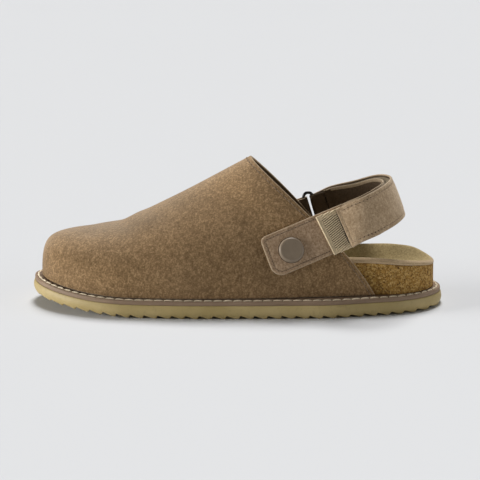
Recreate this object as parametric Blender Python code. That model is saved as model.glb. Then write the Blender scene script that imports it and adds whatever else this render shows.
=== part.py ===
"""Suede clog with a padded heel strap: the left shoe of a pair, empty, standing on its sole.

Sizes are in millimetres and become metres when a mesh is made. +Z is up, the toe points to -X
and the outer side of the foot lies towards -Y. A station is a distance forward from the back
of the heel. Side -1 is the outer side of the foot, side +1 the inner side.
"""
from collections import namedtuple
import math

import bmesh
import bpy
import numpy as np

for old in list(bpy.data.objects):
    bpy.data.objects.remove(old, do_unlink=True)

MM = 0.001
FIT = 0.3                # air between two pieces that rest on each other
OUTER, INNER = -1, 1

# Sole: outline, levels and tread
LENGTH = 280.0
HEEL_ROUND = 45.0        # length of the rounded end at the heel
TOE_ROUND = 65.0         # length of the rounded end at the toe
TOE_SWING = 8.0          # how far the tip of the toe lies towards the inner side
SWING_START = 170.0
TOE_SPRING = 6.4         # lift of the sole at the tip of the toe
SPRING_START = 204.0
TOE_THIN = 1.0           # how much thinner the sole is at the toe
THIN_RUN = 40.0          # run over which it thins
OUTSOLE_TOP = 9.0
SIDE_FLARE = 1.0         # how far the side of the outsole bulges past its top edge
SIDE_TUCK = 0.6          # how far the tread is tucked in under the top edge
WELT_TOP = 12.0
TOOTH_PITCH = 9.16
TOOTH_START = 1.3        # station where the rearmost tooth begins
TOOTH_DEPTH = 2.3
TOOTH_FLAT = 1.8         # length of the flat tip a tooth stands on
TOOTH_BACK = 1.0         # run of the steep rear face of a tooth
TOE_TEETH = 0.5          # share of the depth left in the last teeth at the toe
TOE_TEETH_START = 225.0

SoleRow = namedtuple("SoleRow", "station outer inner shelf")
SOLE = (                 # half widths, and how far the outer edge stands off from the shoe on it
    SoleRow(0, 36.0, 35.0, 0.0),
    SoleRow(48, 42.6, 36.0, 1.6),
    SoleRow(75, 49.5, 34.0, 4.8),
    SoleRow(105, 51.0, 33.0, 2.5),
    SoleRow(160, 52.0, 45.0, 0.0),
    SoleRow(195, 51.5, 49.5, 0.0),
    SoleRow(235, 51.5, 48.0, 0.0),
    SoleRow(280, 50.0, 42.0, 0.0),
)

# Footbed: heights of the finished lining above the floor
LINING = 2.2
BedRow = namedtuple("BedRow", "station outer inner middle inset taper")
BED = (                  # rims, middle, inset of the cork's side from the sole's edge, its lean
    BedRow(0, 30.5, 30.5, 25.0, 4.8, 0.2),
    BedRow(12, 33.0, 34.2, 23.8, 5.0, 0.2),
    BedRow(25, 35.0, 34.9, 23.0, 5.4, 0.2),
    BedRow(46, 37.0, 35.4, 23.0, 7.8, 1.4),
    BedRow(75, 37.4, 35.8, 24.0, 7.8, 2.8),
    BedRow(115, 32.0, 34.0, 25.5, 7.8, 2.4),
    BedRow(160, 25.0, 26.5, 22.5, 7.8, 0.6),
    BedRow(200, 23.0, 23.0, 20.5, 7.8, 0.6),
    BedRow(280, 21.5, 21.5, 20.5, 7.8, 0.6),
)
CupRow = namedtuple("CupRow", "inset rim")
CUP = (                  # share of the rim's height left at a distance in from the edge
    CupRow(0.0, 0.90),
    CupRow(1.6, 1.00),
    CupRow(5.0, 0.80),
    CupRow(10.0, 0.40),
    CupRow(15.0, 0.10),
    CupRow(20.0, 0.00),
)

# Upper: sections from the middle of the toe, share 0, to the edge of the collar, share 1
UPPER_INSET = 5.0        # from the edge of the sole to the foot of the upper
UPPER_WALL = 2.0
COLLAR_OUTER = 46.0      # station of the foot of the collar on the outer side
COLLAR_INNER = 60.0
UPPER_COLUMNS = 24       # grid steps from the toe to the collar on each side
UPPER_ROWS = 15          # grid steps from the welt to the ridge
UpperRow = namedtuple("UpperRow", "share ridge_x ridge_y rise lean bulge reach_x reach_y drop")
UPPER = (
    UpperRow(0.00, -109.0, 8.0, 0.85, 0.00, 0.0, 0.83, 0.80, 0.0),
    UpperRow(0.25, -101.0, 7.5, 0.80, 0.00, 0.5, 0.78, 0.78, 0.0),
    UpperRow(0.50, -75.0, 6.0, 0.64, 0.06, 2.5, 0.50, 0.75, 0.0),
    UpperRow(0.75, -37.0, 4.0, 0.50, 0.17, 3.5, 0.20, 0.76, 0.5),
    UpperRow(1.00, 9.5, 3.0, 0.42, 0.23, 3.0, 0.005, 0.80, 2.5),
)
RidgeRow = namedtuple("RidgeRow", "x height")
RIDGE = (
    RidgeRow(-109.0, 50.0),
    RidgeRow(-95.0, 52.0),
    RidgeRow(-81.0, 54.9),
    RidgeRow(-67.0, 61.2),
    RidgeRow(-46.0, 71.7),
    RidgeRow(9.5, 101.4),
)

# Outer strap: a tab with a snap, then webbing, then the padded heel strap
STRAP_WIDTH = 27.6
TAB = 2.2                # thickness of the tab
TAB_FRONT = (19.9, 38.8)  # x and z of the middle of the tab's front end
TAB_SLOPE = 21.2         # degrees the tab rises towards the heel
TAB_LENGTH = 58.9
TAB_TOP_CORNER = 3.5     # corner radii of the front end
TAB_LOW_CORNER = 8.0
SNAP_FROM_FRONT = 16.6
SNAP_DROP = 0.9          # how far the snap sits under the middle of the tab
SNAP_RADIUS = 8.4
SNAP_HEIGHT = 2.4
WEBBING = 1.4
WEBBING_START = 38.9     # along the tab from its front end, at the webbing's top edge
WEBBING_END = 56.9
WEBBING_SKEW = 2.8       # how much further back it starts at its low edge
WEBBING_DROP = 1.6       # how far the webbing's top edge lies under the tab's
WEBBING_HANG = 0.8       # how far its low edge hangs below the tab's

# Inner side: ring and its tab
RING_AT = (50.5, 55.3)   # x and z of the middle of the ring's front bar
RING_SLOPE = 17.5
RING_WIRE = 1.05         # radius of the wire
RING_BARS = 6.4          # between the middles of the two long bars
RING_HEIGHT = 29.8       # between the middles of its two ends
RING_TAB = 1.2
RING_TAB_LENGTH = 34.0
RING_TAB_WIDTH = 24.6
RING_TAB_CORNER = 7.0
FOLD_BACK = 8.0          # length of a ply turned back behind a bar

# Heel strap: the line its inner face follows, and its two faces measured out from that line
StrapRow = namedtuple("StrapRow", "x y z lean")
STRAP_LOOP = (
    StrapRow(86.0, -29.5, 65.2, 14.0),
    StrapRow(97.5, -19.0, 69.6, 18.0),
    StrapRow(103.8, 0.0, 72.0, 21.0),
    StrapRow(98.3, 18.5, 70.6, 20.0),
    StrapRow(86.5, 28.2, 65.8, 18.0),
)
STRAP_START = 53.5       # front edge of the heel strap, along the tab from its front end
STRAP_LEAD = 12.0        # run before the front edge that sets the strap's direction there
STRAP_STEP = 2.0         # run over which it thins to one ply near the ring
FaceRow = namedtuple("FaceRow", "share inside outside")
STRAP_FACES = (
    FaceRow(0.00, 5.2, 7.2),
    FaceRow(0.05, 5.2, 7.5),
    FaceRow(0.08, 0.5, 7.5),
    FaceRow(0.40, -0.5, 7.6),
    FaceRow(0.60, -0.4, 6.5),
    FaceRow(0.80, -0.2, 5.4),
    FaceRow(1.00, 0.0, 5.1),
)


def smooth(rows, column, at, level_start=False):
    """Value of a column on a smooth curve through a table's rows, straight past its ends."""
    places = np.array([row[0] for row in rows], float)
    values = np.array([getattr(row, column) for row in rows], float)
    slopes = np.gradient(values, places)
    if level_start:
        slopes[0] = 0.0
    at = np.asarray(at, float)
    held = np.clip(at, places[0], places[-1])
    i = np.clip(np.searchsorted(places, held) - 1, 0, len(places) - 2)
    span = places[i + 1] - places[i]
    f = (held - places[i]) / span
    start = values[i] * (1 + 2 * f) * (1 - f) ** 2 + span * slopes[i] * f * (1 - f) ** 2
    end = values[i + 1] * f * f * (3 - 2 * f) + span * slopes[i + 1] * f * f * (f - 1)
    past = np.where(at < places[0], slopes[0], slopes[-1]) * (at - held)
    return start + end + past


def unit(vector):
    return vector / np.linalg.norm(vector, axis=-1, keepdims=True)


def material(name, colour, roughness, metallic=0.0):
    made = bpy.data.materials.new(name)
    made.use_nodes = True
    shader = made.node_tree.nodes["Principled BSDF"]
    shader.inputs["Base Color"].default_value = (*colour, 1.0)
    shader.inputs["Roughness"].default_value = roughness
    shader.inputs["Metallic"].default_value = metallic
    return made


def solid(name, points, faces, look):
    """One named closed object from points in millimetres and faces of point numbers."""
    mesh = bpy.data.meshes.new(name)
    mesh.from_pydata((np.asarray(points) * MM).tolist(), [], faces)
    work = bmesh.new()
    work.from_mesh(mesh)
    bmesh.ops.remove_doubles(work, verts=work.verts, dist=0.00001)
    bmesh.ops.dissolve_degenerate(work, edges=work.edges, dist=0.000001)
    bmesh.ops.recalc_face_normals(work, faces=work.faces)
    work.to_mesh(mesh)
    work.free()
    made = bpy.data.objects.new(name, mesh)
    bpy.context.scene.collection.objects.link(made)
    mesh.materials.append(look)
    return made


# Sole outline

def turn(station):
    """Angle round the outline, 0 at the heel and half a turn at the toe."""
    return np.arccos(np.clip(1 - 2 * np.asarray(station, float) / LENGTH, -1, 1))


def outline(angle, side):
    station = LENGTH / 2 * (1 - np.cos(angle))
    half = smooth(SOLE, "outer" if side == OUTER else "inner", station)
    heel = np.clip(1 - station / HEEL_ROUND, 0, 1)
    toe = np.clip((station - LENGTH + TOE_ROUND) / TOE_ROUND, 0, 1)
    half = half * np.sqrt((1 - heel ** 2) * (1 - toe ** 2))
    f = np.clip((station - SWING_START) / (LENGTH - SWING_START), 0, 1)
    swing = TOE_SWING * f * f * (3 - 2 * f)
    return np.stack([LENGTH / 2 - station, swing + side * half], axis=-1)


def edge(station, side, inset):
    """Points of the sole's outline in plan, moved inward by an inset."""
    angle = turn(station)
    step = 0.0002
    ahead = outline(np.clip(angle + step, 0, math.pi), side)
    behind = outline(np.clip(angle - step, 0, math.pi), side)
    along = unit(ahead - behind)
    outward = side * np.stack([-along[..., 1], along[..., 0]], axis=-1) * -1
    return outline(angle, side) - np.asarray(inset)[..., None] * outward


def spring(station):
    """Lift of the sole towards the tip of the toe."""
    f = np.clip((np.asarray(station, float) - SPRING_START) / (LENGTH - SPRING_START), 0, 1)
    return TOE_SPRING * f * f


def thinning(station):
    """Thickness lost by the outsole towards the toe."""
    f = np.clip((np.asarray(station, float) - SPRING_START) / THIN_RUN, 0, 1)
    return TOE_THIN * f * f * (3 - 2 * f)


def tooth(station):
    """Height of the tread above the floor at a station, before the toe's spring."""
    run = np.mod(np.asarray(station, float) - TOOTH_START, TOOTH_PITCH)
    rise = np.clip((run - TOOTH_FLAT) / (TOOTH_PITCH - TOOTH_FLAT - TOOTH_BACK), 0, 1)
    fall = np.clip((run - TOOTH_PITCH + TOOTH_BACK) / TOOTH_BACK, 0, 1)
    shallow = np.clip((station - TOE_TEETH_START) / (LENGTH - TOE_TEETH_START), 0, 1)
    return TOOTH_DEPTH * (1 - (1 - TOE_TEETH) * shallow) * (rise - fall)


def even_stations(count):
    return LENGTH / 2 * (1 - np.cos(np.linspace(0, math.pi, count)))


def tread_stations():
    """Stations at every bend of the tread, with a few more round the two ends."""
    starts = np.arange(TOOTH_START - TOOTH_PITCH, LENGTH, TOOTH_PITCH)
    bends = np.concatenate([starts, starts + TOOTH_FLAT, starts + TOOTH_PITCH - TOOTH_BACK])
    ends = np.array([0.0, 0.5, 4.5])
    every = np.unique(np.round(np.concatenate([bends, ends, LENGTH - ends]), 4))
    return every[(every >= 0) & (every <= LENGTH)]


def shelf(station, side):
    """Extra width of the sole past the footbed and the upper."""
    return smooth(SOLE, "shelf", station) * (side == OUTER)


def ring(stations, inset, height, on_sole=False):
    """Loop of points round the outline: the outer side from heel to toe, then the inner back."""
    loops = []
    for side in (OUTER, INNER):
        flat = edge(stations, side, inset + shelf(stations, side) * on_sole)
        tall = np.broadcast_to(height(stations, side), stations.shape)
        loops.append(np.column_stack([flat, tall]))
    return np.concatenate([loops[0], loops[1][-2:0:-1]])


def halves(points, corners):
    """Two triangles of a bent four-cornered face, cut along its shorter diagonal."""
    a, b, c, d = corners
    if np.linalg.norm(points[a] - points[c]) < np.linalg.norm(points[b] - points[d]):
        return [(a, b, c), (a, c, d)]
    return [(a, b, d), (b, c, d)]


def ring_solid(name, stations, rings, look):
    """Solid with loops as its side, closed at the first and last loop by strips across it."""
    count = len(stations)
    size = len(rings[0])
    points = np.concatenate(rings)
    faces = []
    for level in range(len(rings) - 1):
        low = level * size
        for k in range(size):
            following = (k + 1) % size
            corners = (low + k, low + following, low + size + following, low + size + k)
            faces.extend(halves(points, corners))
    for low in (0, (len(rings) - 1) * size):
        for k in range(count - 1):
            strip = (low + k, low + k + 1, low + (size - k - 1) % size, low + (size - k) % size)
            faces.append(tuple(dict.fromkeys(strip)))
    return solid(name, points, faces, look)


# Upper surface

def welt_top(station):
    return WELT_TOP + spring(station)


def upper_section(share, up, side):
    """Outer face of the upper up to the collar: share from toe to collar, up from welt to ridge."""
    share, up = np.broadcast_arrays(np.asarray(share, float), np.asarray(up, float))
    sweep = math.pi - turn(COLLAR_OUTER if side == OUTER else COLLAR_INNER)
    station = LENGTH / 2 * (1 + np.cos(share * sweep))
    foot = edge(station, side, UPPER_INSET + shelf(station, side))
    foot_x, foot_y = foot[..., 0], foot[..., 1]
    foot_z = welt_top(station) + FIT
    rows = {name: smooth(UPPER, name, share, True) for name in UpperRow._fields[1:]}
    top_x, top_y = rows["ridge_x"], rows["ridge_y"]
    top_z = smooth(RIDGE, "height", top_x)
    slope = (smooth(RIDGE, "height", top_x + 0.5) - smooth(RIDGE, "height", top_x - 0.5))
    wall_x = foot_x + rows["lean"] * (top_x - foot_x)
    wall_z = foot_z + rows["rise"] * (top_z - foot_z)
    crown_x = top_x + rows["reach_x"] * (foot_x - top_x)
    crown_y = top_y + rows["reach_y"] * (foot_y - top_y)
    crown_z = top_z + slope * (crown_x - top_x) - rows["drop"]
    foot = np.stack([foot_x, foot_y, foot_z], axis=-1)
    wall = np.stack([wall_x, foot_y + side * rows["bulge"], wall_z], axis=-1)
    crown = np.stack([crown_x, crown_y, crown_z], axis=-1)
    top = np.stack([top_x, top_y, top_z], axis=-1)
    t = up[..., None]
    return (foot * (1 - t) ** 3 + 3 * wall * t * (1 - t) ** 2
            + 3 * crown * t * t * (1 - t) + top * t ** 3)


def upper_face(share, up, side):
    """Outer face of the upper, run on straight past the collar."""
    held = np.minimum(share, 1.0)
    point = upper_section(held, up, side)
    step = 0.02
    onward = (upper_section(1.0, up, side) - upper_section(1.0 - step, up, side)) / step
    return point + onward * (share - held)[..., None]


def wall_at(x, z, side):
    """Point and outward direction of the upper's outer face at given x and z."""
    x, z = np.broadcast_arrays(np.asarray(x, float), np.asarray(z, float))
    share = np.full(x.shape, 0.85)
    up = np.full(x.shape, 0.3)
    step = 0.001
    for _ in range(30):
        here = upper_face(share, up, side)
        by_share = (upper_face(share + step, up, side) - here) / step
        by_up = (upper_face(share, up + step, side) - here) / step
        miss_x, miss_z = x - here[..., 0], z - here[..., 2]
        area = by_share[..., 0] * by_up[..., 2] - by_share[..., 2] * by_up[..., 0]
        share = share + np.clip((miss_x * by_up[..., 2] - miss_z * by_up[..., 0]) / area, -0.1, 0.1)
        up = up + np.clip((miss_z * by_share[..., 0] - miss_x * by_share[..., 2]) / area, -0.1, 0.1)
        up = np.clip(up, 0.0, 0.95)
    outward = unit(np.cross(by_share, by_up))
    return here, outward * (side * np.sign(outward[..., 1:2]))


def sheet_solid(name, outside, inside, look):
    """Solid between two grids of points, closed all round its border."""
    rows, columns = outside.shape[:2]
    half = rows * columns
    faces = []
    for i in range(rows - 1):
        for j in range(columns - 1):
            quad = (i * columns + j, i * columns + j + 1, (i + 1) * columns + j + 1, (i + 1) * columns + j)
            faces.append(quad)
            faces.append(tuple(half + k for k in reversed(quad)))
    border = list(range(columns))
    border += [i * columns + columns - 1 for i in range(1, rows)]
    border += [(rows - 1) * columns + j for j in range(columns - 2, -1, -1)]
    border += [i * columns for i in range(rows - 2, 0, -1)]
    for here, following in zip(border, border[1:] + border[:1]):
        faces.append((here, half + here, half + following, following))
    points = np.concatenate([outside.reshape(-1, 3), inside.reshape(-1, 3)])
    return solid(name, points, faces, look)


def make_upper(look):
    """Hollow upper: a grid over its outer face and a second one a wall's thickness inside."""
    share = np.linspace(1, 0, UPPER_COLUMNS + 1)[:, None]
    up = np.linspace(0, 1, UPPER_ROWS + 1)[None, :]
    share, up = np.broadcast_arrays(share, up)
    outside = np.concatenate([upper_face(share, up, OUTER), upper_face(share, up, INNER)[-2::-1]])
    outward = np.cross(np.gradient(outside, axis=1), np.gradient(outside, axis=0))
    outward[:, :-1] = unit(outward[:, :-1])
    outward[:, -1] = unit(outward[:, -2] + outward[::-1, -2])
    inside = outside - UPPER_WALL * outward
    inside[:, 0, 2] = outside[:, 0, 2]
    columns, rows = outside.shape[:2]
    half = columns * rows
    faces = []
    for i in range(columns - 1):
        for j in range(rows - 1):
            quad = (i * rows + j, i * rows + j + 1, (i + 1) * rows + j + 1, (i + 1) * rows + j)
            faces.append(quad)
            faces.append(tuple(half + k for k in reversed(quad)))
    foot = [i * rows for i in range(columns)]
    collar_outer = list(range(rows))
    collar_inner = [(columns - 1) * rows + j for j in range(rows)]
    for line in (foot, collar_outer, collar_inner):
        for here, following in zip(line, line[1:]):
            faces.append((here, following, half + following, half + here))
    points = np.concatenate([outside.reshape(-1, 3), inside.reshape(-1, 3)])
    return solid("upper", points, faces, look)


def strip_solid(name, centres, outward, across, half_thick, half_wide, look):
    """Strap swept through sections, each given by its middle, two directions and two half sizes."""
    points = []
    for centre, out, over, thick, wide in zip(centres, outward, across, half_thick, half_wide):
        outer, inner = 0.2 * thick, 0.45 * thick
        corners = (
            (thick, wide - outer), (thick - outer, wide), (inner - thick, wide), (-thick, wide - inner),
            (-thick, inner - wide), (inner - thick, -wide), (thick - outer, -wide), (thick, outer - wide),
        )
        points += [centre + out * a + over * b for a, b in corners]
    faces = []
    count = len(centres)
    for i in range(count - 1):
        for k in range(8):
            following = (k + 1) % 8
            faces.append((i * 8 + k, i * 8 + following, i * 8 + 8 + following, i * 8 + 8 + k))
    for first in (0, (count - 1) * 8):
        faces.append(tuple(range(first, first + 8)))
    return solid(name, np.array(points), faces, look)


def tab_grid(along, across, side, front, slope, offset):
    """Points over the wall of the upper, measured along and across a strap that lies on it."""
    rise = math.radians(slope)
    x = front[0] + along * math.cos(rise) - across * math.sin(rise)
    z = front[1] + along * math.sin(rise) + across * math.cos(rise)
    point, outward = wall_at(x, z, side)
    return point + outward * np.asarray(offset)[..., None], outward


def rounded_front(along, half, top_corner, low_corner):
    """Upper and lower edge of a strap end with two rounded corners."""
    high = half - top_corner + np.sqrt(top_corner ** 2 - np.clip(top_corner - along, 0, None) ** 2)
    low = half - low_corner + np.sqrt(low_corner ** 2 - np.clip(low_corner - along, 0, None) ** 2)
    return high, -low


# Materials
gum = material("gum_rubber", (0.27, 0.22, 0.09), 0.6)
welt_board = material("welt_board", (0.18, 0.13, 0.09), 0.7)
cork = material("cork", (0.22, 0.12, 0.04), 0.85)
lining_suede = material("lining_suede", (0.28, 0.22, 0.13), 0.9)
suede = material("suede", (0.24, 0.17, 0.10), 0.95)
elastic = material("elastic", (0.33, 0.27, 0.17), 0.85)
gunmetal = material("gunmetal", (0.05, 0.05, 0.05), 0.35, 1.0)
snap_paint = material("snap_paint", (0.17, 0.13, 0.10), 0.5)

# Outsole with a saw-tooth tread, and the welt on it
tread = tread_stations()
ring_solid("outsole", tread, [
    ring(tread, SIDE_TUCK, lambda s, side: tooth(s) + spring(s) + thinning(s)),
    ring(tread, -SIDE_FLARE, lambda s, side: 0.55 * OUTSOLE_TOP + spring(s) + 0.45 * thinning(s)),
    ring(tread, 0.0, lambda s, side: OUTSOLE_TOP + spring(s)),
], gum)

welt_stations = even_stations(61)
ring_solid("welt", welt_stations, [
    ring(welt_stations, 0.0, lambda s, side: OUTSOLE_TOP + FIT + spring(s)),
    ring(welt_stations, 0.0, lambda s, side: welt_top(s)),
], welt_board)


# Cork footbed with a raised rim, and the lining on it

def bed_height(station, side, share):
    """Top of the lining: share 1 on the rim, 0 in the middle of the foot."""
    rim = smooth(BED, "outer" if side == OUTER else "inner", station)
    middle = smooth(BED, "middle", station)
    return middle + (rim - middle) * share + spring(station)


def bed_rings(stations, drop):
    return [
        ring(stations, smooth(BED, "inset", stations) + smooth(BED, "taper", stations) + row.inset,
             lambda s, side, row=row: bed_height(s, side, row.rim) - drop, True)
        for row in CUP
    ]


bed_stations = even_stations(41)
cork_foot = ring(bed_stations, smooth(BED, "inset", bed_stations), lambda s, side: welt_top(s) + FIT, True)
ring_solid("footbed", bed_stations, [cork_foot] + bed_rings(bed_stations, LINING + FIT), cork)
under = bed_rings(bed_stations, LINING)
over = bed_rings(bed_stations, 0.0)
ring_solid("insole", bed_stations, under[::-1] + over, lining_suede)

make_upper(suede)

# Tab, snap and webbing on the outer side
tab_along = np.concatenate([
    TAB_LOW_CORNER * np.array([0.0, 0.08, 0.25, 0.5, 0.8]),
    np.linspace(TAB_LOW_CORNER * 1.2, TAB_LENGTH, 12),
])
tab_high, tab_low = rounded_front(tab_along, STRAP_WIDTH / 2, TAB_TOP_CORNER, TAB_LOW_CORNER)
share_across = np.linspace(0, 1, 9)
tab_across = tab_low[:, None] + (tab_high - tab_low)[:, None] * share_across
tab_run = tab_along[:, None] + 0 * tab_across
tab_inside, _ = tab_grid(tab_run, tab_across, OUTER, TAB_FRONT, TAB_SLOPE, FIT)
tab_outside, _ = tab_grid(tab_run, tab_across, OUTER, TAB_FRONT, TAB_SLOPE, FIT + TAB)
sheet_solid("strap_tab", tab_outside, tab_inside, suede)

web_high, web_low = STRAP_WIDTH / 2 - WEBBING_DROP, -STRAP_WIDTH / 2 - WEBBING_HANG
web_start = WEBBING_START + WEBBING_SKEW * (1 - share_across)
web_along = web_start + (WEBBING_END - web_start) * np.linspace(0, 1, 7)[:, None]
web_across = web_low + (web_high - web_low) * share_across + 0 * web_along
web_foot = FIT + TAB + FIT
web_inside, _ = tab_grid(web_along, web_across, OUTER, TAB_FRONT, TAB_SLOPE, web_foot)
web_outside, _ = tab_grid(web_along, web_across, OUTER, TAB_FRONT, TAB_SLOPE, web_foot + WEBBING)
sheet_solid("webbing", web_outside, web_inside, elastic)

snap_at, snap_out = tab_grid(np.array(SNAP_FROM_FRONT), np.array(-SNAP_DROP), OUTER,
                             TAB_FRONT, TAB_SLOPE, FIT + TAB + FIT)
snap_right = unit(np.cross((0.0, 0.0, 1.0), snap_out))
snap_up = np.cross(snap_out, snap_right)
SnapRow = namedtuple("SnapRow", "radius height")
SNAP = (SnapRow(0.94, 0.0), SnapRow(1.0, 0.2), SnapRow(1.0, 0.6), SnapRow(0.94, 0.85),
        SnapRow(0.80, 1.0), SnapRow(0.60, 0.92))
SNAP_SIDES = 28
around = np.linspace(0, 2 * math.pi, SNAP_SIDES, endpoint=False)
spokes = np.cos(around)[:, None] * snap_right + np.sin(around)[:, None] * snap_up
snap_points = [
    snap_at + spokes * SNAP_RADIUS * row.radius + snap_out * SNAP_HEIGHT * row.height
    for row in SNAP
]
last_ring = SNAP_SIDES * (len(SNAP) - 1)
snap_faces = [tuple(range(SNAP_SIDES)), tuple(range(last_ring, last_ring + SNAP_SIDES))]
for level in range(len(SNAP) - 1):
    low = level * SNAP_SIDES
    high = low + SNAP_SIDES
    for k in range(SNAP_SIDES):
        following = (k + 1) % SNAP_SIDES
        snap_faces.append((low + k, low + following, high + following, high + k))
solid("snap_cap", np.concatenate(snap_points), snap_faces, snap_paint)

# Ring on the inner side: its front bar is held by the tab, its rear bar by the heel strap
ring_rise = math.radians(RING_SLOPE)
eye = RING_WIRE + FIT + RING_TAB / 2
bar_at, ring_out = wall_at(np.array(RING_AT[0]), np.array(RING_AT[1]), INNER)
ring_along = np.array([math.cos(ring_rise), 0.0, math.sin(ring_rise)])
ring_along = unit(ring_along - ring_out * (ring_along @ ring_out))
ring_up = unit(np.cross(ring_along, ring_out) * np.sign(np.cross(ring_along, ring_out)[2]))
front_bar = bar_at + ring_out * (FIT + RING_TAB / 2 + eye)
rear_bar = front_bar + ring_along * RING_BARS
ring_middle = front_bar + ring_along * RING_BARS / 2
half_round = np.linspace(0, math.pi, 9)
turn_radius = RING_BARS / 2
ring_path = []
for way in (1, -1):
    for angle in half_round:
        run = way * turn_radius * math.cos(angle)
        tall = way * (RING_HEIGHT / 2 - turn_radius + turn_radius * math.sin(angle))
        ring_path.append(ring_middle + ring_along * run + ring_up * tall)
ring_path = np.array(ring_path)
ring_tangent = unit(np.roll(ring_path, -1, axis=0) - np.roll(ring_path, 1, axis=0))
ring_side = np.cross(ring_out, ring_tangent)
wire_points = []
wire_faces = []
WIRE_SIDES = 8
for i in range(len(ring_path)):
    for k in range(WIRE_SIDES):
        angle = 2 * math.pi * k / WIRE_SIDES
        radial = math.cos(angle) * ring_side[i] + math.sin(angle) * ring_out
        wire_points.append(ring_path[i] + RING_WIRE * radial)
        nearby = (i + 1) % len(ring_path)
        following = (k + 1) % WIRE_SIDES
        wire_faces.append((i * WIRE_SIDES + k, i * WIRE_SIDES + following,
                           nearby * WIRE_SIDES + following, nearby * WIRE_SIDES + k))
solid("ring", np.array(wire_points), wire_faces, gunmetal)


def eye_sections(bar, away, out, first_side):
    """Middles and outward directions of a ply that turns round a bar on the side away points to."""
    middles = []
    outs = []
    for angle in np.linspace(0, math.pi, 10):
        radial = first_side * math.cos(angle) * out + math.sin(angle) * away
        middles.append(bar + radial * eye)
        outs.append(radial)
    return middles, outs


# Tab of the ring: lies on the inner wall, turns round the front bar and folds back outside
tab_front = (
    RING_AT[0] - RING_TAB_LENGTH * math.cos(ring_rise),
    RING_AT[1] - RING_TAB_LENGTH * math.sin(ring_rise),
)
loop_along = np.concatenate([
    RING_TAB_CORNER * np.array([0.0, 0.12, 0.4, 0.75]),
    np.linspace(RING_TAB_CORNER * 1.1, RING_TAB_LENGTH, 9),
])
loop_high, loop_low = rounded_front(loop_along, RING_TAB_WIDTH / 2, RING_TAB_CORNER, RING_TAB_CORNER)
loop_across = loop_low[:, None] + (loop_high - loop_low)[:, None] * share_across
loop_run = loop_along[:, None] + 0 * loop_across
on_wall, wall_out = tab_grid(loop_run, loop_across, INNER, tab_front, RING_SLOPE, FIT + RING_TAB / 2)
straight = front_bar - ring_out * eye + ring_up * loop_across[..., None]
straight = straight + ring_along * (loop_run - RING_TAB_LENGTH)[..., None]
ease = np.clip((loop_run - 0.62 * RING_TAB_LENGTH) / (0.3 * RING_TAB_LENGTH), 0, 1)[..., None]
ease = ease * ease * (3 - 2 * ease)
loop_middle = on_wall * (1 - ease) + straight * ease
loop_out = unit(wall_out * (1 - ease) + ring_out * ease)
eye_middles, eye_outs = eye_sections(front_bar, ring_along, ring_out, -1)
tail = [front_bar + ring_out * eye - ring_along * FOLD_BACK * f for f in (0.3, 0.65, 1.0)]
turned = np.array(eye_middles[1:] + tail)
turned_out = np.array([-out for out in eye_outs[1:]] + [-ring_out] * len(tail))
turned_middle = turned[:, None, :] + ring_up * (share_across - 0.5)[None, :, None] * RING_TAB_WIDTH
turned_out = np.broadcast_to(turned_out[:, None, :], turned_middle.shape)
loop_middle = np.concatenate([loop_middle, turned_middle])
loop_out = np.concatenate([loop_out, turned_out])
sheet_solid("ring_tab", loop_middle + loop_out * RING_TAB / 2, loop_middle - loop_out * RING_TAB / 2, suede)

# Heel strap: from its front edge over the webbing, round the heel, to the ring's rear bar
strap_start, start_out = tab_grid(np.array([STRAP_START - STRAP_LEAD, STRAP_START]), np.zeros(2), OUTER,
                                  TAB_FRONT, TAB_SLOPE, np.zeros(2))
bar_line = rear_bar - ring_out * (eye + RING_TAB / 2)
strap_end = [bar_line + ring_along * run for run in (1.6 * FOLD_BACK, 0.9 * FOLD_BACK, 1.0)]
loop_knots = np.array([*strap_start, *(np.array(row[:3]) for row in STRAP_LOOP), *strap_end])
loop_leans = [math.degrees(math.asin(out[2])) for out in start_out]
loop_leans += [row.lean for row in STRAP_LOOP]
loop_leans += [math.degrees(math.asin(ring_out[2]))] * len(strap_end)
knot_run = np.concatenate([[0.0], np.cumsum(np.linalg.norm(np.diff(loop_knots, axis=0), axis=1))])
knot_run = knot_run - knot_run[1]
KnotRow = namedtuple("KnotRow", "run x y z lean")
knots = tuple(KnotRow(run, *point, lean) for run, point, lean in zip(knot_run, loop_knots, loop_leans))
single = knot_run[-1] - FOLD_BACK  # from here to the bar the strap is one ply
strap_run = np.concatenate([np.linspace(0, single - STRAP_STEP, 40), np.linspace(single, knot_run[-1], 3)])
strap_line = np.column_stack([smooth(knots, name, strap_run) for name in ("x", "y", "z")])
strap_ahead = np.column_stack([
    smooth(knots, name, strap_run + 0.2) - smooth(knots, name, strap_run - 0.2) for name in ("x", "y", "z")
])
strap_ahead = unit(strap_ahead)
upright = np.array([0.0, 0.0, 1.0]) - strap_ahead * strap_ahead[:, 2:3]
upright = unit(upright)
inward = np.cross(upright, strap_ahead)
lean = np.radians(smooth(knots, "lean", strap_run))[:, None]
strap_across = upright * np.cos(lean) + inward * np.sin(lean)
strap_out = upright * np.sin(lean) - inward * np.cos(lean)
face_share = strap_run / knot_run[-1]
places = [row.share for row in STRAP_FACES]
inside = np.interp(face_share, places, [row.inside for row in STRAP_FACES])
outside = np.interp(face_share, places, [row.outside for row in STRAP_FACES])
to_bar = knot_run[-1] - strap_run
thin = np.clip((strap_run - single) / STRAP_STEP + 1, 0, 1)
inside = inside * (1 - thin) + (2 * eye) * thin
outside = outside * (1 - thin) + (2 * eye + RING_TAB) * thin
strap_middle = strap_line + strap_out * ((inside + outside) / 2)[:, None]
eye_middles, eye_outs = eye_sections(rear_bar, -ring_along, ring_out, 1)
tail = [rear_bar - ring_out * eye + ring_along * FOLD_BACK * f for f in (0.3, 0.65, 1.0)]
strap_middle = np.concatenate([strap_middle, eye_middles, tail])
strap_out = np.concatenate([strap_out, eye_outs, [-ring_out] * len(tail)])
strap_across = np.concatenate([strap_across, [ring_up] * (len(eye_middles) + len(tail))])
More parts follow.
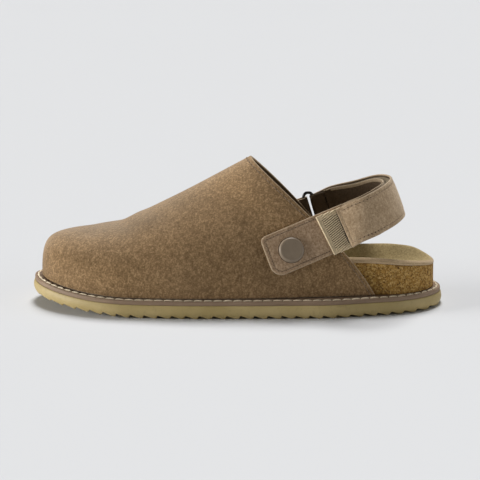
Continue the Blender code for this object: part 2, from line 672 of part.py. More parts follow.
thick = np.concatenate([(outside - inside) / 2, [RING_TAB / 2] * (len(eye_middles) + len(tail))])
narrow = np.clip(to_bar / (1.5 * FOLD_BACK), 0, 1)
wide = (RING_TAB_WIDTH + (STRAP_WIDTH - RING_TAB_WIDTH) * narrow) / 2
wide = np.concatenate([wide, [RING_TAB_WIDTH / 2] * (len(eye_middles) + len(tail))])
strip_solid("heel_strap", strap_middle, strap_out, strap_across, thick, wide, suede)

# The origin lies under the middle of the shoe
rim_points = np.concatenate([edge(tread, side, -SIDE_FLARE) for side in (OUTER, INNER)])
middle = (rim_points.max(axis=0) + rim_points.min(axis=0)) / 2
whole = bpy.data.objects.new("clog", None)
bpy.context.scene.collection.objects.link(whole)
whole.location = (-middle[0] * MM, -middle[1] * MM, 0.0)
for made in list(bpy.context.scene.collection.objects):
    if made.type == "MESH":
        made.parent = whole
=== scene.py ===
"""Looks of a suede clog: the left shoe of a pair, empty, standing on its sole.

Sizes are in millimetres and become metres when a mesh is made. The toe points to -X and the
outer side of the foot lies towards -Y. A station is a distance forward from the back of the
heel. An inset is a distance in from the edge of the sole, or from the edge of a strap.
"""
from collections import namedtuple
import math

import bmesh
import bpy
import numpy as np
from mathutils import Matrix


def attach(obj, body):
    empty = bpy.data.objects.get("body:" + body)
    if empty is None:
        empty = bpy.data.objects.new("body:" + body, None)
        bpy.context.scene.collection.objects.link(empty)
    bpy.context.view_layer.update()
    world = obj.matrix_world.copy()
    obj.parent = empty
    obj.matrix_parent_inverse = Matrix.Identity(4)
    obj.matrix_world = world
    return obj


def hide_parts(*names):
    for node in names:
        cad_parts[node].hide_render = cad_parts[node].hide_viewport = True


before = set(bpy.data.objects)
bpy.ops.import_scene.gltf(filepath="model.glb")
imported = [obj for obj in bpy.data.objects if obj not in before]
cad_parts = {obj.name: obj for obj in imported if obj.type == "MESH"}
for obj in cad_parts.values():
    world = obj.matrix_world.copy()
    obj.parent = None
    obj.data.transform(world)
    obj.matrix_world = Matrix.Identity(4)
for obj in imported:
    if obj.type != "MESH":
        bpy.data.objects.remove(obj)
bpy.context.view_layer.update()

# Outsole
# Gum rubber moulded in one piece: a saw-tooth tread across the whole width, a side that bulges
# a little and a small lift at the toe. It is cemented to the underside of the welt.
MM = 0.001
FIT = 0.3                # air between two pieces that rest on each other
OUTER, INNER = -1, 1
LENGTH = 280.0
HEEL_ROUND = 45.0        # length of the rounded end at the heel
TOE_ROUND = 65.0         # length of the rounded end at the toe
TOE_SWING = 8.0          # how far the tip of the toe lies towards the inner side
SWING_START = 170.0
TOE_SPRING = 6.4         # lift of the sole at the tip of the toe
SPRING_START = 204.0
TOE_THIN = 1.0           # how much thinner the sole is at the toe
THIN_RUN = 40.0          # run over which it thins
OUTSOLE_TOP = 9.0
TOOTH_PITCH = 9.16
TOOTH_START = 1.3        # station where the rearmost tooth begins
TOOTH_DEPTH = 2.3
TOOTH_FLAT = 1.8         # length of the flat tip a tooth stands on
TOOTH_BACK = 1.0         # run of the steep rear face of a tooth
TOOTH_SOFT = 0.28        # how far the corners of a tooth are rounded
TOE_TEETH = 0.5          # share of the depth left in the last teeth at the toe
TOE_TEETH_START = 225.0
SIDE_FLARE = 1.0         # how far the side bulges past its top edge
SOLE_STEPS = 360         # stations along the sole, besides those at the teeth


def table(columns, *rows):
    """Values given in rows, with a name for each column."""
    Row = namedtuple("Row", columns)
    return [Row(*row) for row in rows]


SOLE = table(
    "station outer inner shelf",  # half widths, and how far the outer edge stands off from the shoe on it
    (0, 36.0, 35.0, 0.0),
    (48, 42.6, 36.0, 1.6),
    (75, 49.5, 34.0, 4.8),
    (105, 51.0, 33.0, 2.5),
    (160, 52.0, 45.0, 0.0),
    (195, 51.5, 49.5, 0.0),
    (235, 51.5, 48.0, 0.0),
    (280, 50.0, 42.0, 0.0),
)
SOLE_SIDE = table(
    "share inset",  # the side from the tread, share 0, to the welt, share 1
    (0.00, 0.7),
    (0.05, 0.45),
    (0.20, -0.3),
    (0.40, -0.85),
    (0.55, -SIDE_FLARE),
    (0.72, -0.9),
    (0.88, -0.5),
    (0.97, -0.25),
    (1.00, 0.0),
)


def smooth(rows, column, at, level_start=False):
    """Value of a column on a smooth curve through a table's rows, straight past its ends."""
    places = np.array([row[0] for row in rows], float)
    values = np.array([getattr(row, column) for row in rows], float)
    slopes = np.gradient(values, places)
    if level_start:
        slopes[0] = 0.0
    at = np.asarray(at, float)
    held = np.clip(at, places[0], places[-1])
    i = np.clip(np.searchsorted(places, held) - 1, 0, len(places) - 2)
    span = places[i + 1] - places[i]
    f = (held - places[i]) / span
    start = values[i] * (1 + 2 * f) * (1 - f) ** 2 + span * slopes[i] * f * (1 - f) ** 2
    end = values[i + 1] * f * f * (3 - 2 * f) + span * slopes[i + 1] * f * f * (f - 1)
    past = np.where(at < places[0], slopes[0], slopes[-1]) * (at - held)
    return start + end + past


def straight(rows, column, at):
    """Value of a column on straight lines between a table's rows, held past its ends."""
    return np.interp(at, [row[0] for row in rows], [getattr(row, column) for row in rows])


def ease(value, start, end):
    """Share from 0 to 1 between two places, with a soft start and end."""
    f = np.clip((np.asarray(value, float) - start) / (end - start), 0, 1)
    return f * f * (3 - 2 * f)


def unit(vector):
    return vector / np.linalg.norm(vector, axis=-1, keepdims=True)


def turn(station):
    """Angle round the outline, 0 at the heel and half a turn at the toe."""
    return np.arccos(np.clip(1 - 2 * np.asarray(station, float) / LENGTH, -1, 1))


def outline(angle, side):
    station = LENGTH / 2 * (1 - np.cos(angle))
    half = smooth(SOLE, "outer" if side == OUTER else "inner", station)
    heel = np.clip(1 - station / HEEL_ROUND, 0, 1)
    toe = np.clip((station - LENGTH + TOE_ROUND) / TOE_ROUND, 0, 1)
    half = half * np.sqrt((1 - heel ** 2) * (1 - toe ** 2))
    swing = TOE_SWING * ease(station, SWING_START, LENGTH)
    return np.stack([LENGTH / 2 - station, swing + side * half], axis=-1)


def edge(station, side, inset):
    """Points of the sole's outline in plan, moved inward by an inset."""
    angle = turn(station)
    step = 0.0002
    ahead = outline(np.clip(angle + step, 0, math.pi), side)
    behind = outline(np.clip(angle - step, 0, math.pi), side)
    along = unit(ahead - behind)
    outward = side * np.stack([along[..., 1], -along[..., 0]], axis=-1)
    return outline(angle, side) - np.asarray(inset)[..., None] * outward


def spring(station):
    """Lift of the sole towards the tip of the toe."""
    f = np.clip((np.asarray(station, float) - SPRING_START) / (LENGTH - SPRING_START), 0, 1)
    return TOE_SPRING * f * f


def thinning(station):
    """Thickness lost by the outsole towards the toe."""
    return TOE_THIN * ease(station, SPRING_START, SPRING_START + THIN_RUN)


def tooth(station):
    """Height of the tread above the floor at a station, before the toe's spring."""
    run = np.mod(np.asarray(station, float) - TOOTH_START, TOOTH_PITCH)
    rise = np.clip((run - TOOTH_FLAT) / (TOOTH_PITCH - TOOTH_FLAT - TOOTH_BACK), 0, 1)
    fall = np.clip((run - TOOTH_PITCH + TOOTH_BACK) / TOOTH_BACK, 0, 1)
    shallow = np.clip((station - TOE_TEETH_START) / (LENGTH - TOE_TEETH_START), 0, 1)
    return TOOTH_DEPTH * (1 - (1 - TOE_TEETH) * shallow) * (rise - fall)


def even_stations(count):
    return LENGTH / 2 * (1 - np.cos(np.linspace(0, math.pi, count)))


def shelf(station, side):
    """Extra width of the sole past the footbed and the upper."""
    return smooth(SOLE, "shelf", station) * (side == OUTER)


def ring(stations, inset, height, on_sole=False):
    """Loop of points round the outline: the outer side from heel to toe, then the inner back."""
    loops = []
    for side in (OUTER, INNER):
        flat = edge(stations, side, inset + shelf(stations, side) * on_sole)
        tall = np.broadcast_to(height(stations, side), stations.shape)
        loops.append(np.column_stack([flat, tall]))
    return np.concatenate([loops[0], loops[1][-2:0:-1]])


rim = np.concatenate([edge(even_stations(400), side, -SIDE_FLARE) for side in (OUTER, INNER)])
HOME = np.append(-(rim.max(axis=0) + rim.min(axis=0)) / 2, 0.0)  # puts the middle over the origin


def to_frame(points):
    """Points in millimetres of the shoe as points in metres of the frame."""
    return (np.asarray(points, float) + HOME) * MM


def show(name, data):
    """New object in the scene."""
    made = bpy.data.objects.new(name, data)
    bpy.context.scene.collection.objects.link(made)
    return made


def piece(name, points, faces, looks, kinds, sharp=40.0, painted_tones=None):
    """Closed mesh that rides on the shoe; kinds gives the number of each face's look."""
    mesh = bpy.data.meshes.new(name)
    mesh.from_pydata(to_frame(points).tolist(), [], faces)
    # Painted light and shade: a tone for each point that makes the suede paler or darker.
    if painted_tones is not None:
        mesh.attributes.new("nap_and_painted_light", "FLOAT", "POINT").data.foreach_set("value", painted_tones)
    for look in looks:
        mesh.materials.append(look)
    mesh.polygons.foreach_set("material_index", kinds)
    work = bmesh.new()
    work.from_mesh(mesh)
    bmesh.ops.remove_doubles(work, verts=work.verts, dist=0.01 * MM)
    bmesh.ops.recalc_face_normals(work, faces=work.faces)
    work.to_mesh(mesh)
    work.free()
    mesh.shade_smooth()
    mesh.set_sharp_from_angle(angle=math.radians(sharp))
    made = show(name, mesh)
    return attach(made, "root")


def quads(loops, size, round_loops, round_points):
    """Faces between loops of points, closed or left open each way."""
    faces = []
    for i in range(loops if round_loops else loops - 1):
        near = (i + 1) % loops * size
        for k in range(size if round_points else size - 1):
            following = (k + 1) % size
            faces.append((i * size + k, i * size + following, near + following, near + k))
    return faces


def loft(name, rings, looks, kinds=None, sharp=40.0):
    """Piece with mirrored loops as its side, closed at both ends by strips across the loop."""
    size = len(rings[0])
    kinds = kinds or [0] * (len(rings) - 1)
    faces = quads(len(rings), size, False, True)
    face_kinds = [kind for kind in kinds for _ in range(size)]
    for low, kind in ((0, kinds[0]), ((len(rings) - 1) * size, kinds[-1])):
        for k in range(size // 2):
            strip = (low + k, low + k + 1, low + (size - k - 1) % size, low + (size - k) % size)
            faces.append(tuple(dict.fromkeys(strip)))
            face_kinds.append(kind)
    return piece(name, np.concatenate(rings), faces, looks, face_kinds, sharp)


def add(tree, kind, inputs=(), **settings):
    """New node in a tree; each input is a value or the socket that feeds it."""
    made = tree.nodes.new(kind)
    for name, value in settings.items():
        setattr(made, name, value)
    for socket, value in dict(inputs).items():
        if isinstance(value, bpy.types.NodeSocket):
            tree.links.new(value, made.inputs[socket])
        else:
            made.inputs[socket].default_value = value
    return made


def flow(tree, kind, inputs=(), **settings):
    """First output of a new node."""
    return add(tree, kind, inputs, **settings).outputs[0]


def calc(tree, operation, first, second):
    return flow(tree, "ShaderNodeMath", {0: first, 1: second}, operation=operation)


def span(tree, value, low, high, start=0.0, end=1.0):
    """Value moved from one range to another, held at its ends."""
    inputs = {"Value": value, "From Min": low, "From Max": high, "To Min": start, "To Max": end}
    return add(tree, "ShaderNodeMapRange", inputs).outputs["Result"]


def blend(tree, share, first, second):
    """Colour between two others."""
    mix = add(tree, "ShaderNodeMix", {0: share, 6: first, 7: second}, data_type="RGBA")
    return mix.outputs[2]


def noise(tree, scale, detail=2.0, rough=0.5, vector=None):
    """Noise with a given number of grains to the metre."""
    if vector is None:
        vector = add(tree, "ShaderNodeTexCoord").outputs["Object"]
    inputs = {"Vector": vector, "Scale": scale, "Detail": detail, "Roughness": rough}
    return add(tree, "ShaderNodeTexNoise", inputs).outputs["Fac"]


def look(name, roughness, **sockets):
    """New material: its Principled shader has the values that are the same all over it."""
    made = bpy.data.materials.new(name)
    made.use_nodes = True
    tree = made.node_tree
    shader = tree.nodes["Principled BSDF"]
    shader.inputs["Roughness"].default_value = roughness
    for socket, value in sockets.items():
        shader.inputs[socket.replace("_", " ")].default_value = value
    return made, tree, shader


def finish(tree, shader, colour, height=None, strength=0.3, depth=0.3):
    """Feeds a shader its colour and the relief of its surface, depth in millimetres."""
    tree.links.new(colour, shader.inputs["Base Color"])
    if height is not None:
        inputs = {"Strength": strength, "Distance": depth * MM, "Height": height}
        tree.links.new(flow(tree, "ShaderNodeBump", inputs), shader.inputs["Normal"])


GUM = (0.372, 0.283, 0.114, 1.0)
GUM_PALE = (0.446, 0.347, 0.159, 1.0)
GUM_DUSTY = (0.298, 0.229, 0.099, 1.0)
gum, tree, shader = look("gum_rubber", 0.55, Specular_IOR_Level=0.35)
cloudy = span(tree, noise(tree, 45.0, 3.0), 0.35, 0.65)
scuffed = span(tree, noise(tree, 420.0, 3.0, 0.6), 0.55, 0.72, 0.0, 0.45)
colour = blend(tree, scuffed, blend(tree, cloudy, GUM, GUM_PALE), GUM_DUSTY)
finish(tree, shader, colour, noise(tree, 1300.0, 2.0), 0.15, 0.2)

starts = np.arange(TOOTH_START - TOOTH_PITCH, LENGTH, TOOTH_PITCH)
bends = np.concatenate([starts, starts + TOOTH_FLAT, starts + TOOTH_PITCH - TOOTH_BACK])
rounding = np.concatenate([bends - TOOTH_SOFT, bends, bends + TOOTH_SOFT, even_stations(SOLE_STEPS)])
tread = np.unique(np.round(np.clip(rounding, 0, LENGTH), 3))


def side_ring(share):
    """Loop round the side; the teeth only cut its lower edge, with a small rounding there."""
    tips = spring(tread) + thinning(tread)
    soft = sum(tooth(np.clip(tread + move, 0, LENGTH)) for move in (-TOOTH_SOFT, 0, TOOTH_SOFT))
    top = OUTSOLE_TOP + spring(tread)
    height = (tips + soft / 3) * (1 - share) + top * share
    inset = straight(SOLE_SIDE, "inset", (height - tips) / (top - tips))
    drawn_in = max(0.0, 0.4 - 8 * share)  # rounds the lowest corner a little more
    return ring(tread, inset + drawn_in, lambda station, side: height)


outsole = loft("outsole_gum", [side_ring(row.share) for row in SOLE_SIDE], [gum])
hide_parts("outsole")

# Welt
# A strip of taupe leather board on the outsole, with rounded edges and a shallow channel near
# its edge. A row of thick cream thread lies in the channel and sews the welt to the sole.
WELT_TOP = 12.0
WELT_CHANNEL = 2.5       # inset of the stitches
WELT_STEPS = 361         # stations along it
WELT = table(
    "inset height",  # from its underside round the edge to its top
    (8.0, OUTSOLE_TOP + 0.1),
    (0.25, OUTSOLE_TOP + 0.1),
    (0.05, OUTSOLE_TOP + 0.3),
    (0.0, OUTSOLE_TOP + 0.9),
    (0.0, WELT_TOP - 0.9),
    (0.15, WELT_TOP - 0.35),
    (0.5, WELT_TOP - 0.08),
    (1.1, WELT_TOP),
    (1.8, WELT_TOP - 0.1),
    (WELT_CHANNEL, WELT_TOP - 0.45),
    (3.2, WELT_TOP - 0.1),
    (3.8, WELT_TOP),
    (8.0, WELT_TOP),
)
WELT_TAUPE = (0.22, 0.15, 0.097, 1.0)
WELT_WORN = (0.27, 0.191, 0.126, 1.0)
welt_board, tree, shader = look("welt_board", 0.6, Specular_IOR_Level=0.3)
streaks = flow(tree, "ShaderNodeMapping", {
    "Vector": add(tree, "ShaderNodeTexCoord").outputs["Object"], "Scale": (0.25, 0.25, 3.0),
})
worn = span(tree, noise(tree, 260.0, 3.0, 0.6, streaks), 0.4, 0.7)
finish(tree, shader, blend(tree, worn, WELT_TAUPE, WELT_WORN), noise(tree, 900.0, 3.0), 0.2, 0.25)

welt_stations = even_stations(WELT_STEPS)
welt = loft("welt_strip", [
    ring(welt_stations, row.inset, lambda s, side, row=row: row.height + spring(s)) for row in WELT
], [welt_board])
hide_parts("welt")


def node_tree(name, kind, given, gives):
    """New node group with named sockets of each kind, and the outputs of its input node."""
    tree = bpy.data.node_groups.new(name, kind)
    for way, sockets in (("INPUT", given), ("OUTPUT", gives)):
        for socket_kind, names in sockets.items():
            for socket in names:
                tree.interface.new_socket(socket, in_out=way, socket_type="NodeSocket" + socket_kind)
    return tree, add(tree, "NodeGroupInput").outputs


def dressed(tree, geometry, material):
    """Geometry made real, shaded smooth and given its material."""
    geometry = flow(tree, "GeometryNodeRealizeInstances", {"Geometry": geometry})
    geometry = flow(tree, "GeometryNodeSetShadeSmooth", {"Geometry": geometry})
    return flow(tree, "GeometryNodeSetMaterial", {"Geometry": geometry, "Material": material})


def stitch_row_tree():
    """Nodes that sew stitches along a line, with a dark dot of painted shade for the needle hole between each
    two.
    """
    sizes = ("Pitch", "Length", "Thickness", "Slant", "Unevenness", "Hole")
    tree, given = node_tree("stitch_row", "GeometryNodeTree", {
        "Geometry": ["Geometry"], "Float": sizes, "Material": ["Thread", "Hole Shade"],
    }, {"Geometry": ["Geometry"]})
    line = flow(tree, "GeometryNodeMeshToCurve", {"Mesh": given["Geometry"]})
    steps = flow(tree, "GeometryNodeResampleCurve", {"Curve": line, "Length": given["Pitch"]}, mode="LENGTH")
    facing = flow(tree, "GeometryNodeInputNamedAttribute", {"Name": "surface_out"}, data_type="FLOAT_VECTOR")
    heading = flow(tree, "GeometryNodeInputTangent")
    lay = flow(tree, "FunctionNodeAxesToRotation", {0: facing, 1: heading},
               primary_axis="Z", secondary_axis="X")

    reach = calc(tree, "MULTIPLY", given["Length"], 0.5)
    dip = calc(tree, "MULTIPLY", given["Thickness"], -0.7)
    arch = calc(tree, "MULTIPLY", given["Thickness"], 0.5)
    bends = {}
    for name, share, height in (("Start", -1.0, dip), ("Start Handle", -0.9, arch),
                                ("End Handle", 0.9, arch), ("End", 1.0, dip)):
        along = calc(tree, "MULTIPLY", reach, share)
        bends[name] = flow(tree, "ShaderNodeCombineXYZ", {0: along, 2: height})
    arc = flow(tree, "GeometryNodeCurvePrimitiveBezierSegment", {"Resolution": 10, **bends})
    strand = flow(tree, "GeometryNodeCurvePrimitiveCircle", {"Resolution": 7, "Radius": arch})
    thread = flow(tree, "GeometryNodeCurveToMesh", {"Curve": arc, "Profile Curve": strand, "Fill Caps": True})
    random = add(tree, "FunctionNodeRandomValue", {2: -1.0, 3: 1.0, "Seed": 7}, data_type="FLOAT")
    sway = calc(tree, "MULTIPLY", random.outputs[1], given["Unevenness"])
    sway = flow(tree, "ShaderNodeCombineXYZ", {2: calc(tree, "ADD", sway, given["Slant"])})
    sewn = flow(tree, "GeometryNodeInstanceOnPoints", {"Points": steps, "Instance": thread, "Rotation": lay})
    sewn = flow(tree, "GeometryNodeRotateInstances", {"Instances": sewn, "Rotation": sway})
    sewn = dressed(tree, sewn, given["Thread"])

    hole = flow(tree, "GeometryNodeMeshUVSphere", {"Segments": 8, "Rings": 4, "Radius": given["Hole"]})
    hole = flow(tree, "GeometryNodeTransform", {"Geometry": hole, "Scale": (1.0, 1.0, 0.35)})
    ahead = flow(tree, "ShaderNodeCombineXYZ", {0: calc(tree, "MULTIPLY", given["Pitch"], 0.5)})
    pierced = flow(tree, "GeometryNodeInstanceOnPoints", {"Points": steps, "Instance": hole, "Rotation": lay})
    pierced = flow(tree, "GeometryNodeTranslateInstances", {"Instances": pierced, "Translation": ahead})
    pierced = flow(tree, "GeometryNodeRealizeInstances", {"Geometry": pierced})
    pierced = flow(tree, "GeometryNodeSetMaterial", {"Geometry": pierced, "Material": given["Hole Shade"]})
    both = add(tree, "GeometryNodeJoinGeometry", {0: sewn})
    tree.links.new(pierced, both.inputs[0])
    add(tree, "NodeGroupOutput", {0: both.outputs[0]})
    return tree


def grow(name, tree, lines, sizes):
    """Piece that a node tree makes along lines, each with its points and outward directions."""
    points = []
    outward = []
    joins = []
    for line, out, closed in lines:
        first = len(points)
        points += to_frame(line).tolist()
        outward += np.broadcast_to(out, np.shape(line)).tolist()
        joins += [(k, k + 1) for k in range(first, len(points) - 1)]
        joins += [(len(points) - 1, first)] if closed else []
    mesh = bpy.data.meshes.new(name + "_line")
    mesh.from_pydata(points, joins, [])
    facing = mesh.attributes.new("surface_out", "FLOAT_VECTOR", "POINT")
    facing.data.foreach_set("vector", np.array(outward, np.float32).ravel())
    carrier = show(name + "_line", mesh)
    modifier = carrier.modifiers.new("grow", "NODES")
    modifier.node_group = tree
    for item in tree.interface.items_tree:
        if item.name in sizes:
            modifier[item.identifier] = sizes[item.name]
    ready = carrier.evaluated_get(bpy.context.evaluated_depsgraph_get())
    grown = bpy.data.meshes.new_from_object(ready)
    bpy.data.objects.remove(carrier)
    made = show(name, grown)
    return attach(made, "root")


def thread_look(name, first, second):
    """Twisted thread: two close colours and fine ridges."""
    made, tree, shader = look(name, 0.8, Sheen_Weight=0.2)
    finish(tree, shader, blend(tree, span(tree, noise(tree, 900.0, 2.0), 0.35, 0.65), first, second),
           noise(tree, 2600.0, 2.0), 0.4, 0.15)
    return made


# Painted shade: a near-black look for needle holes and for the gap round the snap's foot.
painted_hole_shade, tree, shader = look("painted_hole_shade", 0.95)
finish(tree, shader, blend(tree, noise(tree, 900.0), (0.02, 0.013, 0.008, 1.0), (0.04, 0.027, 0.016, 1.0)))
cream_thread = thread_look("cream_thread", (0.8, 0.7, 0.52, 1.0), (0.68, 0.57, 0.4, 1.0))
stitch_row = stitch_row_tree()
welt_line = ring(welt_stations, WELT_CHANNEL, lambda s, side: WELT_TOP - 0.2 + spring(s))
welt_stitches = grow("welt_stitches", stitch_row, [(welt_line, (0.0, 0.0, 1.0), True)], {
    "Pitch": 6.6 * MM, "Length": 6.4 * MM, "Thickness": 1.25 * MM, "Slant": math.radians(4),
    "Unevenness": math.radians(2), "Hole": 0.5 * MM, "Thread": cream_thread, "Hole Shade": painted_hole_shade,
})

# Footbed
# Cork granules pressed with latex into a deep heel cup, glued on the welt and lasted into the
# upper. Its bare side shows round the heel; the rest lies inside the shoe.
LINING = 2.2
# Rims, middle, inset of the cork's side from the sole's edge, its lean.
BED = table(
    "station outer inner middle inset taper",
    (0, 30.5, 30.5, 25.0, 4.8, 0.2),
    (12, 33.0, 34.2, 23.8, 5.0, 0.2),
    (25, 35.0, 34.9, 23.0, 5.4, 0.2),
    (46, 37.0, 35.4, 23.0, 7.8, 1.4),
    (75, 37.4, 35.8, 24.0, 7.8, 2.8),
    (115, 32.0, 34.0, 25.5, 7.8, 2.4),
    (160, 25.0, 26.5, 22.5, 7.8, 0.6),
    (200, 23.0, 23.0, 20.5, 7.8, 0.6),
    (280, 21.5, 21.5, 20.5, 7.8, 0.6),
)
CUP = table(
    "inset rim",  # share of the rim's height left at a distance in from the edge
    (0.0, 0.90),
    (1.6, 1.00),
    (5.0, 0.80),
    (10.0, 0.40),
    (15.0, 0.10),
    (20.0, 0.00),
)
CORK_STEPS = 7           # loops up the bare side of the cork
BED_STEPS = 221          # stations along the footbed


def welt_top(station):
    return WELT_TOP + spring(station)


def bed_ring(stations, inset, drop):
    """Loop on the lining's top, or a drop under it, at a distance in from its rim."""
    share = smooth(CUP, "rim", inset)

    def height(station, side):
        tall = smooth(BED, "outer" if side == OUTER else "inner", station)
        middle = smooth(BED, "middle", station)
        return middle + (tall - middle) * share + spring(station) - drop

    rim_inset = smooth(BED, "inset", stations) + smooth(BED, "taper", stations)
    return ring(stations, rim_inset + inset, height, True)


CORK_DARK = (0.21, 0.108, 0.025, 1.0)
CORK_TAN = (0.413, 0.233, 0.0577, 1.0)
CORK_PALE = (0.60, 0.41, 0.15, 1.0)
CORK_BARK = (0.05, 0.02, 0.006, 1.0)
GRANULES = 800.0         # to the metre
cork, tree, shader = look("pressed_cork", 0.85, Specular_IOR_Level=0.25)
place = add(tree, "ShaderNodeTexCoord").outputs["Object"]
bent = add(tree, "ShaderNodeTexNoise", {"Vector": place, "Scale": 500.0, "Detail": 2.0}).outputs["Color"]
bent = flow(tree, "ShaderNodeVectorMath", {0: bent, 3: 1.1 * MM}, operation="SCALE")
bent = flow(tree, "ShaderNodeVectorMath", {0: place, 1: bent})
grains = add(tree, "ShaderNodeTexVoronoi", {"Vector": bent, "Scale": GRANULES})
crumbs = add(tree, "ShaderNodeTexVoronoi", {"Vector": bent, "Scale": 1300.0})
seams = add(tree, "ShaderNodeTexVoronoi", {"Vector": bent, "Scale": GRANULES}, feature="DISTANCE_TO_EDGE")
gap = seams.outputs["Distance"]
tone = flow(tree, "ShaderNodeSeparateColor", {0: grains.outputs["Color"]})
fleck = add(tree, "ShaderNodeSeparateColor", {0: crumbs.outputs["Color"]}).outputs[1]
colour = blend(tree, span(tree, tone, 0.0, 0.75), CORK_DARK, CORK_TAN)
colour = blend(tree, span(tree, tone, 0.72, 1.0, 0.0, 0.7), colour, CORK_PALE)
colour = blend(tree, span(tree, fleck, 0.80, 0.95, 0.0, 0.65), colour, CORK_PALE)
colour = blend(tree, span(tree, fleck, 0.05, 0.16, 0.75, 0.0), colour, CORK_BARK)
colour = blend(tree, span(tree, gap, 0.0, 0.09, 0.55, 0.0), colour, CORK_DARK)
finish(tree, shader, colour, calc(tree, "ADD", tone, span(tree, gap, 0.0, 0.15)), 0.5, 0.3)

bed_stations = even_stations(BED_STEPS)
cork_foot = ring(bed_stations, smooth(BED, "inset", bed_stations), lambda s, side: welt_top(s) + FIT, True)
cork_rim = bed_ring(bed_stations, 0.0, LINING + FIT)
cork_sides = [cork_foot + (cork_rim - cork_foot) * f for f in np.linspace(0, 1, CORK_STEPS)]
footbed = loft("cork_footbed", cork_sides + [
    bed_ring(bed_stations, row.inset, LINING + FIT) for row in CUP[1:]
], [cork])
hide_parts("footbed")

# Lining of the footbed
# Thin beige suede glued over the cork. It is turned over the rim, where its smooth outer skin
# shows as a pale band above the cork.


def suede_nap_group():
    """Colour and relief of brushed suede: fine fibres, soft mottling and broad brushed patches, scaled by
    painted light and shade.
    """
    tree, given = node_tree("suede_nap", "ShaderNodeTree", {
        "Color": ["Colour", "Pale", "Dark"], "Float": ["Grain", "Painted Light"],
    }, {"Color": ["Colour"], "Float": ["Height"]})
    place = add(tree, "ShaderNodeTexCoord").outputs["Object"]
    combed = flow(tree, "ShaderNodeMapping", {
        "Vector": place, "Rotation": (0.0, math.radians(-25), 0.0), "Scale": (1.0, 1.0, 0.6),
    })
    fine = noise(tree, given["Grain"], 4.0, 0.7, place)
    fibre = noise(tree, calc(tree, "MULTIPLY", given["Grain"], 0.6), 2.0, 0.5, combed)
    mottle = noise(tree, 170.0, 3.0, 0.6, place)
    nap_and_painted_light = noise(tree, 34.0, 2.0, 0.5, place)
    nap = 0.0
    for share, layer in ((0.58, fine), (0.24, fibre), (0.11, mottle), (0.07, nap_and_painted_light)):
        nap = calc(tree, "ADD", nap, calc(tree, "MULTIPLY", layer, share))
    colour = blend(tree, span(tree, nap, 0.40, 0.50, 0.75, 0.0), given["Colour"], given["Dark"])
    colour = blend(tree, span(tree, nap, 0.50, 0.60, 0.0, 0.75), colour, given["Pale"])
    # Painted light and shade: the colour is scaled up or down by the tone the piece carries.
    tone = calc(tree, "ADD", given["Painted Light"], 1.0)
    colour = flow(tree, "ShaderNodeVectorMath", {0: colour, 3: tone}, operation="SCALE")
    height = calc(tree, "ADD", fine, calc(tree, "MULTIPLY", fibre, 0.6))
    add(tree, "NodeGroupOutput", {"Colour": colour, "Height": height})
    return tree


suede_nap = suede_nap_group()


def suede_look(name, base, pale, dark, grain, strength=0.5, sheen=0.35):
    """Suede in three shades of its nap, with a soft sheen and the painted light and shade a piece carries."""
    made, tree, shader = look(name, 0.92, Specular_IOR_Level=0.15, Sheen_Weight=sheen,
                              Sheen_Roughness=0.5, Sheen_Tint=(1.0, 0.90, 0.76, 1.0))
    nap_and_painted_light = add(tree, "ShaderNodeAttribute", attribute_name="nap_and_painted_light").outputs["Fac"]
    shades = {"Colour": base, "Pale": pale, "Dark": dark, "Grain": grain, "Painted Light": nap_and_painted_light}
    nap = add(tree, "ShaderNodeGroup", shades, node_tree=suede_nap)
    finish(tree, shader, nap.outputs["Colour"], nap.outputs["Height"], strength, 0.5)
    return made


lining_suede = suede_look("lining_suede", (0.417, 0.319, 0.148, 1.0), (0.565, 0.446, 0.23, 1.0),
                          (0.268, 0.196, 0.0827, 1.0), 1100.0, 0.4)
turned_edge = suede_look("turned_edge", (0.433, 0.313, 0.183, 1.0), (0.528, 0.392, 0.244, 1.0),
                         (0.339, 0.24, 0.135, 1.0), 1300.0, 0.15)
LINING_UNDER = (20.0, 15.0, 10.0, 5.0, 1.6, 0.6)  # insets of its loops on the cork
LINING_RIM = ((0.1, LINING), (-0.15, 1.8), (-0.25, 1.2), (-0.2, 0.6), (0.1, 0.15))
LINING_OVER = (0.6, 1.1, 1.6, 2.4, 3.4, 5.0, 7.0, 9.0, 11.0, 13.0, 15.5, 18.0, 20.0)
lining_rows = table(
    "inset drop",        # from the middle of its underside over the rim to the middle of its top
    *((inset, LINING) for inset in LINING_UNDER), *LINING_RIM, *((inset, 0.0) for inset in LINING_OVER),
)
rim_rows = range(len(LINING_UNDER) - 1, len(LINING_UNDER) + len(LINING_RIM) + 2)
lining = loft("footbed_lining", [bed_ring(bed_stations, row.inset, row.drop) for row in lining_rows],
              [lining_suede, turned_edge], [int(k in rim_rows) for k in range(len(lining_rows) - 1)])
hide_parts("insole")

# Upper
# One piece of thick suede, flesh side out, lasted over the footbed and cemented to the welt.
# The collar is a raw cut edge with one row of stitches beside it; the inside is lined.
UPPER_INSET = 5.0        # from the edge of the sole to the foot of the upper
UPPER_WALL = 2.0
COLLAR_OUTER = 46.0      # station of the foot of the collar on the outer side
COLLAR_INNER = 60.0
UPPER_COLUMNS = 130      # grid steps from the toe to the collar on each side
UPPER_ROWS = 84          # grid steps from the welt to the ridge
FOOT_TUCK = 0.8          # how far the foot of the upper turns in over the welt
COLLAR_STITCH = 3.4      # from the collar's edge to its stitches
FOOT_ROOM = (0.0, 0.0, 40.0)  # a point inside the upper
TOP, CUT, BACK = 0, 1, 2  # numbers of a sheet's looks: its face, its cut edge and its back
